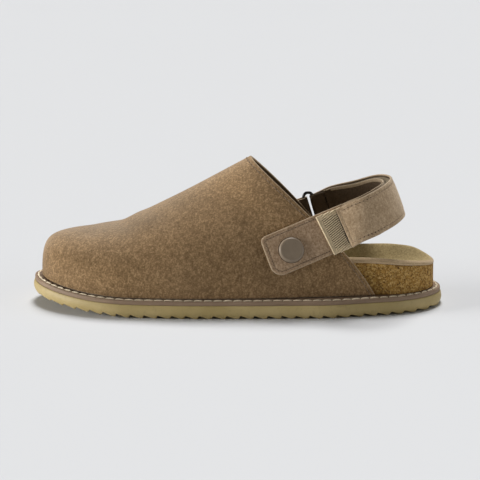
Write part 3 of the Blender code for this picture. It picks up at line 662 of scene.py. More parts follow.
# From the middle of the toe, share 0, to the edge of the collar, share 1.
UPPER = table(
    "share ridge_x ridge_y rise lean bulge reach_x reach_y drop",
    (0.00, -109.0, 8.0, 0.85, 0.00, 0.0, 0.83, 0.80, 0.0),
    (0.25, -101.0, 7.5, 0.80, 0.00, 0.5, 0.78, 0.78, 0.0),
    (0.50, -75.0, 6.0, 0.64, 0.06, 2.5, 0.50, 0.75, 0.0),
    (0.75, -37.0, 4.0, 0.50, 0.17, 3.5, 0.20, 0.76, 0.5),
    (1.00, 9.5, 3.0, 0.42, 0.23, 3.0, 0.005, 0.80, 2.5),
)
RIDGE = table(
    "x height",
    (-109.0, 50.0),
    (-95.0, 52.0),
    (-81.0, 54.9),
    (-67.0, 61.2),
    (-46.0, 71.7),
    (9.5, 101.4),
)
CREASES = table(
    "share up share_wide up_wide slant amount",  # soft troughs, and ridges where it is negative
    (0.46, 0.86, 0.030, 0.16, 20.0, 0.45),
    (0.54, 0.80, 0.030, 0.18, 25.0, -0.35),
    (0.61, 0.72, 0.028, 0.16, 30.0, 0.30),
    (0.30, 0.78, 0.050, 0.08, -15.0, 0.30),
    (0.72, 0.20, 0.040, 0.09, -30.0, 0.30),
    (0.84, 0.14, 0.035, 0.08, 25.0, -0.25),
    (0.52, 0.16, 0.060, 0.05, 10.0, 0.25),
)
PAINTED_LIGHT_AND_SHADE = table(
    "share up share_wide up_wide slant amount",  # patches of painted light and painted shade, paler or darker
    (0.53, 0.78, 0.13, 0.17, 0.0, -0.34),
    (0.72, 0.84, 0.07, 0.14, 0.0, -0.18),
    (0.30, 0.88, 0.12, 0.14, 0.0, -0.20),
    (0.41, 0.18, 0.08, 0.16, 0.0, 0.18),
    (0.17, 0.27, 0.07, 0.20, 0.0, 0.14),
    (0.88, 0.68, 0.06, 0.22, 0.0, 0.20),
    (0.59, 0.15, 0.06, 0.16, 0.0, -0.13),
    (0.78, 0.20, 0.07, 0.20, 0.0, -0.20),
)
CUT_DEPTH = 0.7          # how far the eased corners of the cut edge reach
CUT_EDGE = table(
    "beyond under",      # a cut edge with eased corners: past the edge, and under the outer face
    (0.35, 0.06), (0.6, 0.25), (0.7, 0.6), (0.7, 1.4), (0.6, 1.75), (0.35, 1.94),
)


def upper_section(share, up, side):
    """Outer face of the upper up to the collar: share from toe to collar, up from welt to ridge."""
    share, up = np.broadcast_arrays(np.asarray(share, float), np.asarray(up, float))
    sweep = math.pi - turn(COLLAR_OUTER if side == OUTER else COLLAR_INNER)
    station = LENGTH / 2 * (1 + np.cos(share * sweep))
    foot = edge(station, side, UPPER_INSET + shelf(station, side))
    foot_x, foot_y = foot[..., 0], foot[..., 1]
    foot_z = welt_top(station) + FIT
    rows = {name: smooth(UPPER, name, share, True) for name in UPPER[0]._fields[1:]}
    top_x, top_y = rows["ridge_x"], rows["ridge_y"]
    top_z = smooth(RIDGE, "height", top_x)
    slope = smooth(RIDGE, "height", top_x + 0.5) - smooth(RIDGE, "height", top_x - 0.5)
    crown_x = top_x + rows["reach_x"] * (foot_x - top_x)
    crown_z = top_z + slope * (crown_x - top_x) - rows["drop"]
    foot = np.stack([foot_x, foot_y, foot_z], axis=-1)
    wall = np.stack([
        foot_x + rows["lean"] * (top_x - foot_x),
        foot_y + side * rows["bulge"],
        foot_z + rows["rise"] * (top_z - foot_z),
    ], axis=-1)
    crown = np.stack([crown_x, top_y + rows["reach_y"] * (foot_y - top_y), crown_z], axis=-1)
    top = np.stack([top_x, top_y, top_z], axis=-1)
    t = up[..., None]
    return (foot * (1 - t) ** 3 + 3 * wall * t * (1 - t) ** 2
            + 3 * crown * t * t * (1 - t) + top * t ** 3)


def upper_face(share, up, side):
    """Outer face of the upper, run on straight past the collar."""
    held = np.minimum(share, 1.0)
    point = upper_section(held, up, side)
    step = 0.02
    onward = (upper_section(1.0, up, side) - upper_section(1.0 - step, up, side)) / step
    return point + onward * (share - held)[..., None]


def marks(rows, share, up):
    """Sum of soft marks on the upper, each with its place, widths, slant and amount."""
    total = np.zeros(np.broadcast(share, up).shape)
    for row in rows:
        tilt = math.radians(row.slant)
        over = (share - row.share) / row.share_wide
        tall = (up - row.up) / row.up_wide
        across = over * math.cos(tilt) + tall * math.sin(tilt)
        along = tall * math.cos(tilt) - over * math.sin(tilt)
        total = total + row.amount * np.exp(-across ** 2 - along ** 2)
    return total


share, up = np.meshgrid(
    np.linspace(1, 0, UPPER_COLUMNS + 1), np.linspace(0, 1, UPPER_ROWS + 1) ** 1.15, indexing="ij",
)
outside = np.concatenate([upper_face(share, up, OUTER), upper_face(share, up, INNER)[-2::-1]])
moved = -marks(CREASES, share, up)
moved = np.concatenate([moved, moved[-2::-1]])[..., None]


def sheet_out(grid):
    """Outward directions over the upper's grid, alike where its two sides meet at the ridge."""
    out = np.cross(np.gradient(grid, axis=1), np.gradient(grid, axis=0))
    out[:, :-1] = unit(out[:, :-1])
    out[:, -1] = unit(out[:, -2] + out[::-1, -2])
    return out


outside = outside + moved * sheet_out(outside)
outward = sheet_out(outside)
inside = outside - UPPER_WALL * outward
inside[:, 0, 2] = outside[:, 0, 2]
outside[:, 0] -= FOOT_TUCK * outward[:, 0] * (1, 1, 0)
for sheet in (outside, inside):
    sheet[[0, -1]] -= CUT_DEPTH * unit(outside[[0, -1]] - outside[[1, -2]])


def cut_columns(end, before):
    """Columns round the cut edge of the collar, from its outer to its inner face."""
    beyond = unit(outside[end] - outside[before])
    return np.stack([outside[end] + beyond * row.beyond - outward[end] * row.under for row in CUT_EDGE])


belt = np.concatenate([outside, cut_columns(-1, -2), inside[::-1], cut_columns(0, 1)[::-1]])
columns, rows = belt.shape[:2]
shell = len(outside)
faces = quads(columns, rows, True, False)
kinds = []
for i in range(columns):
    cut = shell - 1 <= i < shell + len(CUT_EDGE) or i >= columns - len(CUT_EDGE) - 1
    kinds += [CUT if cut else TOP if i < shell else BACK] * (rows - 1)
last_inside = columns - len(CUT_EDGE) - 1
for i in range(shell - 1):
    faces.append((i * rows, (i + 1) * rows, (last_inside - i - 1) * rows, (last_inside - i) * rows))
faces.append(tuple(i * rows for i in range(shell - 1, shell + len(CUT_EDGE) + 1)))
faces.append(tuple(i * rows for i in [*range(last_inside, columns), 0]))
kinds += [TOP] * (shell + 1)

SUEDE = (0.211, 0.129, 0.058, 1.0)
SUEDE_PALE = (0.396, 0.259, 0.135, 1.0)
SUEDE_DARK = (0.092, 0.053, 0.021, 1.0)
upper_suede = suede_look("upper_suede", SUEDE, SUEDE_PALE, SUEDE_DARK, 900.0)
collar_edge = suede_look("collar_edge", (0.31, 0.22, 0.13, 1.0), (0.42, 0.31, 0.20, 1.0),
                         (0.21, 0.14, 0.075, 1.0), 1500.0, 0.2)
raw_edge = suede_look("raw_edge", (0.34, 0.255, 0.165, 1.0), (0.42, 0.325, 0.22, 1.0),
                      (0.25, 0.18, 0.11, 1.0), 1500.0, 0.2)
# Dark brown lining; also used as painted shade on the heel strap's turned end, its front edge and the
# lining's cut end.
dark_lining_and_painted_shade = suede_look("dark_lining_and_painted_shade", (0.085, 0.057, 0.035, 1.0), (0.11, 0.076, 0.048, 1.0),
                          (0.06, 0.038, 0.022, 1.0), 1200.0, 0.2, 0.1)
# Painted light and shade over the upper's outer face; the rest of the belt gets none.
nap_and_painted_light = marks(PAINTED_LIGHT_AND_SHADE, share, up)
painted_tones = np.zeros((columns, rows))
painted_tones[:shell] = np.concatenate([nap_and_painted_light, nap_and_painted_light[-2::-1]])
upper = piece("suede_upper", belt.reshape(-1, 3), faces, [upper_suede, collar_edge, dark_lining_and_painted_shade], kinds,
              50.0, painted_tones.ravel())
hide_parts("upper")

tonal_thread = thread_look("tonal_thread", (0.20, 0.135, 0.075, 1.0), (0.155, 0.10, 0.052, 1.0))
TONAL_ROW = {
    "Pitch": 2.9 * MM, "Length": 2.5 * MM, "Thickness": 0.55 * MM, "Slant": 0.0,
    "Unevenness": math.radians(5), "Hole": 0.42 * MM, "Thread": tonal_thread, "Hole Shade": painted_hole_shade,
}


def collar_line(side):
    """Stitch line beside the collar, from the welt to the ridge, with its outward directions."""
    up = np.linspace(0.012, 0.985, 160)
    collar = np.ones(len(up))
    step = 0.02
    width = np.linalg.norm(upper_face(collar, up, side) - upper_face(collar - step, up, side), axis=-1)
    share = 1 - step * COLLAR_STITCH / width
    here = upper_face(share, up, side)
    by_up = upper_face(share, up + 0.002, side) - here
    by_share = upper_face(share - 0.002, up, side) - here
    out = unit(np.cross(by_up, by_share))
    from_middle = (out * (here - FOOT_ROOM))[..., 1:].sum(-1)
    out = out * np.where(from_middle < 0, -1, 1)[..., None]
    return here + out * 0.05, out, False


collar_stitches = grow("collar_stitches", stitch_row, [collar_line(OUTER), collar_line(INNER)],
                       {**TONAL_ROW, "Pitch": 3.3 * MM, "Hole": 0.28 * MM})

# Strap tab
# A doubled strip of the same suede on the outer side. Its rounded front end is held by the
# snap; behind the webbing it runs on as the inner ply of the heel strap.
STRAP_WIDTH = 27.6
TAB_FRONT = (19.9, 38.8)  # x and z of the middle of the tab's front end
TAB_SLOPE = 21.2         # degrees the tab rises towards the heel
TAB_LENGTH = 58.9
TAB_CORNERS = (8.0, 3.5, 0.4)  # radii at the low front, the high front and the rear
TAB_STITCH = 2.5         # from the tab's edge to its stitches
REAR_INSET = 0.4         # the rear end of a strap is only eased, not rounded over
TIGHT = 0.05             # smallest radius of a corner
TAB_SEAM_HEIGHT = 2.0    # the thread lies in a shallow channel
TAB_SEAM_END = 39.0      # along the tab, where the webbing covers it
TAB_SECTION = table(
    "inset height",      # from the middle of the underside round the edge to the middle of the top
    (13.2, 0.0), (6.0, 0.0), (0.6, 0.0), (0.15, 0.15), (0.0, 0.5), (0.0, 1.5), (0.12, 1.9), (0.5, 2.15),
    (1.1, 2.2), (1.8, 2.12), (TAB_STITCH, 1.95), (3.2, 2.12), (4.2, 2.25), (7.0, 2.33), (10.0, 2.36),
    (13.2, 2.36),
)
TAB_CUT = range(3, 7)    # bands of that section on the cut edge


def wall_at(x, z, side):
    """Point and outward direction of the upper's outer face at given x and z."""
    x, z = np.broadcast_arrays(np.asarray(x, float), np.asarray(z, float))
    share = np.full(x.shape, 0.85)
    up = np.full(x.shape, 0.3)
    step = 0.001
    for _ in range(30):
        here = upper_face(share, up, side)
        by_share = (upper_face(share + step, up, side) - here) / step
        by_up = (upper_face(share, up + step, side) - here) / step
        miss_x, miss_z = x - here[..., 0], z - here[..., 2]
        area = by_share[..., 0] * by_up[..., 2] - by_share[..., 2] * by_up[..., 0]
        share = share + np.clip((miss_x * by_up[..., 2] - miss_z * by_up[..., 0]) / area, -0.1, 0.1)
        up = up + np.clip((miss_z * by_share[..., 0] - miss_x * by_share[..., 2]) / area, -0.1, 0.1)
        up = np.clip(up, 0.0, 0.95)
    outward = unit(np.cross(by_share, by_up))
    return here, outward * (side * np.sign(outward[..., 1:2]))


def on_wall(along, across, height, side, front, slope):
    """Point at a height over the upper, measured along and across a strap that lies on it."""
    rise = math.radians(slope)
    x = front[0] + along * math.cos(rise) - across * math.sin(rise)
    z = front[1] + along * math.sin(rise) + across * math.cos(rise)
    point, outward = wall_at(x, z, side)
    return point + outward * np.asarray(height)[..., None]


def on_tab(along, across, height):
    return on_wall(along, across, FIT + height, OUTER, TAB_FRONT, TAB_SLOPE)


Strap = namedtuple("Strap", "length width corners steps")


def strap_edges(strap, inset):
    """Low and high edge of a strap's outline from the middle of its front to the middle of its rear."""
    edges = []
    arc = np.linspace(0, math.pi / 2, 9)
    reach = strap.width / 2 - inset
    rear = strap.length - min(inset, REAR_INSET)
    last = max(strap.corners[2] - inset, TIGHT)
    for way, corner in ((-1, strap.corners[0]), (1, strap.corners[1])):
        first = max(corner - inset, TIGHT)
        run = np.clip(np.linspace(0, strap.length, strap.steps), inset + first, rear - last)
        along = np.concatenate([
            np.full(6, inset), inset + first * (1 - np.cos(arc)), run,
            rear - last * (1 - np.sin(arc)), np.full(6, rear),
        ])
        across = np.concatenate([
            np.linspace(0, reach - first, 7)[:-1], reach - first * (1 - np.sin(arc)),
            np.full(len(run), reach),
            reach - last * (1 - np.cos(arc)), np.linspace(reach - last, 0, 7)[1:],
        ])
        edges.append(np.stack([along, way * across]))
    return edges


def slab(name, strap, section, place, looks, cut):
    """Strap with a rounded outline and a section from a table, laid where place puts it."""
    rings = []
    for row in section:
        low, high = strap_edges(strap, row.inset)
        loop = np.concatenate([low, high[:, -2:0:-1]], axis=1)
        rings.append(place(loop[0], loop[1], np.full(loop.shape[1], row.height)))
    under = len(looks) - 1  # the last look, or the only one, is the underside's
    start = min(cut, default=0)
    kinds = [CUT if k in cut else under if k < start else TOP for k in range(len(section) - 1)]
    return loft(name, rings, looks, kinds)


def seam_line(strap, inset, height, place, reach):
    """Stitch line along the high edge, round the front end and back along the low edge."""
    low, high = strap_edges(strap, inset)
    line = np.concatenate([high[:, :0:-1], low], axis=1)
    line = line[:, line[0] <= reach]
    line = line[:, np.append(True, np.abs(np.diff(line)).sum(axis=0) > 0.01)]
    here = place(line[0], line[1], np.full(line.shape[1], height))
    above = place(line[0], line[1], np.full(line.shape[1], height + 1.0))
    return here, unit(above - here), False


# Painted light: the same suede as the upper, made paler on the tab and the ring tab.
tab_suede_painted_light = suede_look("tab_suede_painted_light", (0.324, 0.22, 0.134, 1.0), (0.498, 0.361, 0.24, 1.0),
                       (0.196, 0.124, 0.0676, 1.0), 900.0)
TAB = Strap(TAB_LENGTH, STRAP_WIDTH, TAB_CORNERS, steps=48)
tab = slab("snap_tab", TAB, TAB_SECTION, on_tab, [tab_suede_painted_light, raw_edge], TAB_CUT)
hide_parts("strap_tab")
tab_seam = seam_line(TAB, TAB_STITCH, TAB_SEAM_HEIGHT, on_tab, TAB_SEAM_END)
tab_stitches = grow("tab_stitches", stitch_row, [tab_seam],
                    {**TONAL_ROW, "Pitch": 2.6 * MM, "Hole": 0.3 * MM})

# Snap
# The cap of a press stud, pressed from sheet metal and enamelled in matt taupe. Its post goes
# through the tab and the upper; the rim is rounded over and the face is flat.
SNAP_FROM_FRONT = 16.6
SNAP_DROP = 0.9          # how far it sits under the middle of the tab
SNAP_RADIUS = 8.4
SNAP_HEIGHT = 2.4
SNAP_GAP = 0.05          # air between the tab and the cap
SNAP_SIDES = 64
SNAP = table(
    "radius height",     # shares, from its foot over the rounded rim to the middle of its face
    (1.035, -0.1), (1.035, 0.03), (0.99, 0.05), (1.0, 0.18), (1.0, 0.40), (0.985, 0.60), (0.95, 0.78),
    (0.90, 0.91), (0.84, 0.98), (0.78, 1.0), (0.72, 0.985), (0.66, 0.965), (0.58, 0.955), (0.30, 0.955),
    (0.06, 0.955),
)
snap_enamel, tree, shader = look("snap_enamel", 0.42, Specular_IOR_Level=0.4)
mist = span(tree, noise(tree, 220.0, 3.0, 0.6), 0.3, 0.7)
finish(tree, shader, blend(tree, mist, (0.205, 0.158, 0.11, 1.0), (0.23, 0.18, 0.128, 1.0)),
       noise(tree, 2200.0, 2.0), 0.12, 0.1)
tab_top = TAB_SECTION[-1].height
snap_low, snap_high = (on_tab(np.array(SNAP_FROM_FRONT), np.array(-SNAP_DROP), np.array(tab_top + height))
                       for height in (SNAP_GAP, SNAP_GAP + 1.0))
snap_out = unit(snap_high - snap_low)
snap_right = unit(np.cross((0.0, 0.0, 1.0), snap_out))
around = np.linspace(0, 2 * math.pi, SNAP_SIDES, endpoint=False)
spokes = np.cos(around)[:, None] * snap_right + np.sin(around)[:, None] * np.cross(snap_out, snap_right)
# Its two lowest bands, at the foot, take the near-black hole look: painted shade where the cap meets the tab.
snap = loft("snap_disc", [
    snap_low + spokes * SNAP_RADIUS * row.radius + snap_out * SNAP_HEIGHT * row.height for row in SNAP
], [snap_enamel, painted_hole_shade], [1, 1] + [0] * (len(SNAP) - 3))
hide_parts("snap_cap")

# Webbing
# A short piece of ribbed beige elastic sewn between the tab and the heel strap, so that the
# strap gives. Its front end is folded under, which leaves a smooth raised hem.
WEBBING_START = 38.9     # along the tab from its front end, at the webbing's top edge
WEBBING_LENGTH = 18.0
WEBBING_SKEW = 2.8       # how much further back it starts at its low edge
WEBBING_DROP = 1.6       # how far its top edge lies under the tab's
WEBBING_HANG = 0.8       # how far its low edge hangs below the tab's
WEBBING_WIDTH = STRAP_WIDTH - WEBBING_DROP + WEBBING_HANG
HEM = 3.0                # width of the folded front end
HEM_RISE = 0.4           # of the fold itself
RIB_PITCH = 1.25
RIB_STOP = 14.2          # they end just before the heel strap, leaving a strip of the dark core there as painted shade
RIB_SLANT = 14.0         # degrees from the strap's own direction
RIB_RADIUS = 0.46
WEB_TOP = 1.05           # height of the woven face over the tab, where the ribs lie
WEB_SECTION = table(
    "inset height",
    (8.6, 0.0), (0.4, 0.0), (0.08, 0.15), (0.0, 0.45), (0.05, 0.85), (0.25, 1.08), (0.6, 1.15),
    (1.0, 1.15), (1.4, 1.1), (2.0, WEB_TOP), (HEM, WEB_TOP), (8.6, 0.85),
)


def on_webbing(along, across, height):
    fold = np.exp(-((along - 0.6) / 0.5) ** 2) * (height > 0.5)
    skew = WEBBING_SKEW * (0.5 - across / WEBBING_WIDTH)
    run = WEBBING_START + skew + along * (1 - skew / WEBBING_LENGTH)
    low = across - (WEBBING_DROP + WEBBING_HANG) / 2
    return on_tab(run, low, tab_top + FIT + height + fold * HEM_RISE)


def rib_tree():
    """Nodes that turn lines into round ribs."""
    tree, given = node_tree("woven_ribs", "GeometryNodeTree", {
        "Geometry": ["Geometry"], "Float": ["Radius"], "Material": ["Yarn"],
    }, {"Geometry": ["Geometry"]})
    line = flow(tree, "GeometryNodeMeshToCurve", {"Mesh": given["Geometry"]})
    strand = flow(tree, "GeometryNodeCurvePrimitiveCircle", {"Resolution": 7, "Radius": given["Radius"]})
    rib = flow(tree, "GeometryNodeCurveToMesh", {"Curve": line, "Profile Curve": strand, "Fill Caps": True})
    add(tree, "NodeGroupOutput", {0: dressed(tree, rib, given["Yarn"])})
    return tree


def rib_lines():
    """Slanting lines a rib's pitch apart over the webbing behind its hem."""
    slant = math.radians(RIB_SLANT)
    lines = []
    half = WEBBING_WIDTH / 2 + 0.1
    for start in np.arange(-half - WEBBING_LENGTH * math.tan(slant), half, RIB_PITCH / math.cos(slant)):
        along = np.linspace(HEM + 0.2, RIB_STOP, 60)
        across = start + (along - HEM) * math.tan(slant)
        held = np.abs(across) < half
        if held.sum() > 4:
            spots = along[held][::3], across[held][::3]
            lines.append((on_webbing(*spots, np.full(len(spots[0]), WEB_TOP)), (0.0, -1.0, 0.0), False))
    return lines


yarn = thread_look("elastic_yarn", (0.616, 0.493, 0.314, 1.0), (0.493, 0.388, 0.239, 1.0))
# The core is partly the elastic's own darker core and partly painted shade, between the ribs and in front of
# the heel strap.
elastic_core_and_painted_shade = thread_look("elastic_core_and_painted_shade", (0.12, 0.09, 0.055, 1.0), (0.09, 0.066, 0.04, 1.0))
ELASTIC = Strap(WEBBING_LENGTH, WEBBING_WIDTH, corners=(0.5, 0.5, 0.5), steps=24)
webbing = slab("elastic_webbing", ELASTIC, WEB_SECTION, on_webbing, [elastic_core_and_painted_shade, yarn],
               range(1, len(WEB_SECTION) - 2))
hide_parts("webbing")
ribs = grow("webbing_ribs", rib_tree(), rib_lines(), {"Radius": RIB_RADIUS * MM, "Yarn": yarn})

# Ring
# A long ring bent from steel wire and plated in gunmetal, on the inner side. Its front bar is
# held by the ring tab and its rear bar by the end of the heel strap.
RING_AT = (50.5, 55.3)   # x and z of the middle of the ring's front bar
RING_SLOPE = 17.5
RING_WIRE = 1.05         # radius of the wire
RING_BARS = 6.4          # between the middles of the two long bars
RING_HEIGHT = 29.8       # between the middles of its two ends
RING_TAB = 1.2           # thickness of the leather round the bars
WIRE_SIDES = 12
eye = RING_WIRE + FIT + RING_TAB / 2
ring_rise = math.radians(RING_SLOPE)
bar_at, ring_out = wall_at(np.array(RING_AT[0]), np.array(RING_AT[1]), INNER)
ring_along = np.array([math.cos(ring_rise), 0.0, math.sin(ring_rise)])
ring_along = unit(ring_along - ring_out * (ring_along @ ring_out))
ring_up = np.cross(ring_along, ring_out)
ring_up = unit(ring_up * np.sign(ring_up[2]))
front_bar = bar_at + ring_out * (FIT + RING_TAB / 2 + eye)
rear_bar = front_bar + ring_along * RING_BARS
bend = RING_BARS / 2
ring_path = []
for way in (1, -1):
    for angle in np.linspace(0, math.pi, 25):
        tall = way * (RING_HEIGHT / 2 - bend + bend * math.sin(angle))
        ring_path.append(front_bar + ring_along * (bend + way * bend * math.cos(angle)) + ring_up * tall)
ring_path = np.array(ring_path)
ahead = unit(np.roll(ring_path, -1, axis=0) - np.roll(ring_path, 1, axis=0))
wire_side = np.cross(ring_out, ahead)
spin = 2 * math.pi * np.arange(WIRE_SIDES) / WIRE_SIDES
wire = (ring_path[:, None] + RING_WIRE * (np.cos(spin)[None, :, None] * wire_side[:, None]
                                          + np.sin(spin)[None, :, None] * ring_out))
faces = quads(len(ring_path), WIRE_SIDES, True, True)
gunmetal, tree, shader = look("gunmetal_plate", 0.3, Metallic=1.0)
tarnish = span(tree, noise(tree, 500.0, 3.0, 0.6), 0.35, 0.7)
finish(tree, shader, blend(tree, tarnish, (0.045, 0.045, 0.048, 1.0), (0.09, 0.085, 0.08, 1.0)),
       noise(tree, 1600.0), 0.1, 0.1)
wire_ring = piece("wire_ring", wire.reshape(-1, 3), faces, [gunmetal], [0] * len(faces), 60.0)
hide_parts("ring")

# Ring tab
# A thin suede tab sewn to the inner side of the upper. It runs back to the ring, turns round
# the front bar and is folded back on itself.
RING_TAB_LENGTH = 34.0
RING_TAB_WIDTH = 24.6
RING_TAB_STITCH = 2.3    # from its edge to its stitches
RING_SEAM_HEIGHT = 1.12
RING_SEAM_END = 24.0     # along the tab, where it leaves the upper for the ring
FOLD_BACK = 8.0          # length of the leather turned back behind a bar
NEAR = 0.2               # what lies this close to a bar or an end counts as on it
RING_TAB_SECTION = table(
    "inset height",
    (11.8, 0.0), (5.0, 0.0), (0.4, 0.0), (0.1, 0.1), (0.0, 0.35), (0.0, 0.85), (0.1, 1.1), (0.4, 1.2),
    (1.6, 1.2), (RING_TAB_STITCH, 1.08), (3.0, 1.2), (6.0, 1.2), (11.8, 1.2),
)
RING_TAB_CUT = range(3, 6)
tab_front = (
    RING_AT[0] - RING_TAB_LENGTH * math.cos(ring_rise),
    RING_AT[1] - RING_TAB_LENGTH * math.sin(ring_rise),
)


def round_bar(bar, away, out, run, across, height):
    """Point on leather that passes a bar on the side out points to, turns round it and runs back."""
    angle = np.clip(run / eye, 0, math.pi)[:, None]
    radial = np.cos(angle) * out + np.sin(angle) * away
    tail = np.clip(run - math.pi * eye, 0, None)[:, None]
    return bar + radial * (eye + height)[:, None] - away * tail + ring_up * across[:, None]


def on_ring_tab(along, across, height):
    flat = np.minimum(along, RING_TAB_LENGTH)
    laid = on_wall(flat, across, FIT + height, INNER, tab_front, RING_SLOPE)
    level = front_bar + ring_out * (height - RING_TAB / 2 - eye)[:, None] + ring_up * across[:, None]
    level = level + ring_along * (flat - RING_TAB_LENGTH)[:, None]
    lift = ease(flat / RING_TAB_LENGTH, 0.62, 0.92)[:, None]
    past = along - RING_TAB_LENGTH
    turned = round_bar(front_bar, ring_along, -ring_out, past, across, RING_TAB / 2 - height)
    return np.where((past <= 0)[:, None], laid * (1 - lift) + level * lift, turned)


LOOP_TAB = Strap(
    RING_TAB_LENGTH + math.pi * eye + FOLD_BACK, RING_TAB_WIDTH, corners=(7.0, 7.0, 0.5), steps=100,
)
ring_tab = slab("ring_loop_tab", LOOP_TAB, RING_TAB_SECTION, on_ring_tab,
                [tab_suede_painted_light, raw_edge, dark_lining_and_painted_shade], RING_TAB_CUT)
for face in ring_tab.data.polygons:
    past_bar = np.array(face.center) / MM - HOME - front_bar
    if face.material_index == BACK and past_bar @ ring_out > NEAR:
        face.material_index = TOP  # the turned end is suede on both sides
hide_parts("ring_tab")
ring_seam = seam_line(LOOP_TAB, RING_TAB_STITCH, RING_SEAM_HEIGHT, on_ring_tab, RING_SEAM_END)
ring_tab_stitches = grow("ring_tab_stitches", stitch_row, [ring_seam], TONAL_ROW)

# Heel strap
# A padded strap of two plies with foam between, cut flush and sewn near its edges. It starts
# over the webbing, goes round the heel and is turned round the ring's rear bar.
STRAP_LOOP = table(
    "x y z lean",  # the line its inner face follows
    (86.0, -29.5, 65.2, 14.0),
    (97.5, -19.0, 69.6, 18.0),
    (103.8, 0.0, 72.0, 21.0),
    (98.3, 18.5, 70.6, 20.0),
    (86.5, 28.2, 65.8, 18.0),
)
STRAP_START = 53.5       # front edge of the heel strap, along the tab from its front end
STRAP_LEAD = 12.0        # run before the front edge that sets the strap's direction there
STRAP_STITCH = 2.7       # from the edge to the stitches
OUTER_PLY = 1.5
INNER_PLY = 1.4
FRONT_DROP = 1.9         # how much lower the outer ply lies at its front
FRONT_RUN = 22.0         # length of that lower part
FAR_DROP = 1.2           # how much lower the lining's upper edge lies behind the heel
BAR_LEAD = 1.0           # from the end of the strap's line to the ring's rear bar
LINING_EXTRA = 0.6       # how much wider the lining is than the outer ply
FOAM_LEAD = 4.0          # how far behind the lining's front end the foam starts
FOAM_SHORT = 5.0         # how much shorter than the lining it is
STRAP_SEAM_HEIGHT = 0.82
STRAP_SEAM_STOP = 4.0    # from the end of the stitches to the ring's bar
TURN_DEPTH = 8.0         # the turned end lies at most this far behind the bar
TURN_REACH = FOLD_BACK + 3.0  # and this far along the strap
STRAP_FACES = table(
    "share inside outside",  # the two faces, measured out from the line
    (0.00, 0.4, 7.0),
    (0.08, 0.5, 7.5),
    (0.40, -0.5, 7.6),
    (0.60, -0.4, 6.5),
    (0.80, -0.2, 5.4),
    (1.00, 0.0, 5.1),
)
PLY_SECTION = table(
    "inset height",      # over the ply's underside in the middle; the edges are drawn down
    (13.2, 0.1), (8.0, 0.0), (4.0, -0.2), (0.6, -0.45), (0.15, -0.35), (0.0, -0.1), (0.0, 0.55),
    (0.12, 0.82), (0.45, 0.98), (1.1, 1.08), (1.9, 1.08), (STRAP_STITCH, 0.92), (3.6, 1.22), (5.0, 1.38),
    (8.0, 1.5), (11.0, 1.55), (13.2, 1.58),
)
LINING_SECTION = table(
    "inset height",
    (13.2, 1.4), (5.0, 1.4), (0.6, 1.4), (0.15, 1.28), (0.0, 1.0), (0.0, 0.9), (0.2, 0.6), (0.8, 0.3),
    (2.2, 0.02), (2.9, 0.2), (3.6, 0.02), (6.0, -0.2), (13.2, -0.3),
)
FOAM_SECTION = table(
    "inset height",      # height as a share of the room between the plies
    (12.0, 0.0), (1.5, 0.0), (1.2, 0.1), (1.2, 0.9), (1.5, 1.0), (12.0, 1.0),
)
PLY_CUT_AND_PAINTED_HIGHLIGHT = range(3, 8)    # bands on the cut edge, in the sections of both plies; on the lining they run on over about 2 mm of its inner face as a painted highlight
first_runs = np.array([STRAP_START - STRAP_LEAD, STRAP_START])
strap_start, start_out = (
    on_wall(first_runs, np.zeros(2), np.full(2, height), OUTER, TAB_FRONT, TAB_SLOPE)
    for height in (0.0, 1.0)
)
bar_line = rear_bar - ring_out * (eye + RING_TAB / 2)
strap_end = [bar_line + ring_along * run for run in (1.6 * FOLD_BACK, 0.9 * FOLD_BACK, BAR_LEAD)]
loop_knots = np.array([*strap_start, *(np.array(row[:3]) for row in STRAP_LOOP), *strap_end])
leans = [math.degrees(math.asin((top - low)[2])) for low, top in zip(strap_start, start_out)]
leans += [row.lean for row in STRAP_LOOP] + [math.degrees(math.asin(ring_out[2]))] * len(strap_end)
knot_run = np.append(0.0, np.cumsum(np.linalg.norm(np.diff(loop_knots, axis=0), axis=1)))
knot_run = knot_run - knot_run[1]
knots = table("run x y z lean", *np.column_stack([knot_run, loop_knots, leans]))
STRAP_RUN = knot_run[-1]


def strap_line(run):
    return np.stack([smooth(knots, name, run) for name in ("x", "y", "z")], axis=-1)


def strap_level(run, column):
    """Height of a face of the strap over its line."""
    return straight(STRAP_FACES, column, run / STRAP_RUN)


def on_strap(run, across, level):
    """Point over the strap's line, at a level out from it and across its width."""
    ahead = unit(strap_line(run + 0.2) - strap_line(run - 0.2))
    upright = unit(np.array([0.0, 0.0, 1.0]) - ahead * ahead[:, 2:3])
    inward = np.cross(upright, ahead)
    lean = np.radians(smooth(knots, "lean", run))[:, None]
    over = upright * np.cos(lean) + inward * np.sin(lean)
    out = upright * np.sin(lean) - inward * np.cos(lean)
    narrow = np.clip((STRAP_RUN - run) / (1.5 * FOLD_BACK), 0, 1)
    taper = (RING_TAB_WIDTH + (STRAP_WIDTH - RING_TAB_WIDTH) * narrow) / STRAP_WIDTH
    return strap_line(run) + out * level[:, None] + over * (across * taper)[:, None]


def on_outer_ply(along, across, height):
    run = np.minimum(along, STRAP_RUN)
    across = across - FRONT_DROP * np.clip(1 - run / FRONT_RUN, 0, 1)
    flat = on_strap(run, across, strap_level(run, "outside") - OUTER_PLY + height)
    narrow = across * RING_TAB_WIDTH / STRAP_WIDTH
    thin = RING_TAB / 2 + (height - OUTER_PLY) * RING_TAB / OUTER_PLY
    turned = round_bar(rear_bar, -ring_along, ring_out, along - STRAP_RUN - BAR_LEAD, narrow, thin)
    return np.where((along <= STRAP_RUN)[:, None], flat, turned)


INNER_START = TAB_LENGTH - STRAP_START + FIT
INNER_END = STRAP_RUN + BAR_LEAD - FOLD_BACK - FIT  # it meets the turned end


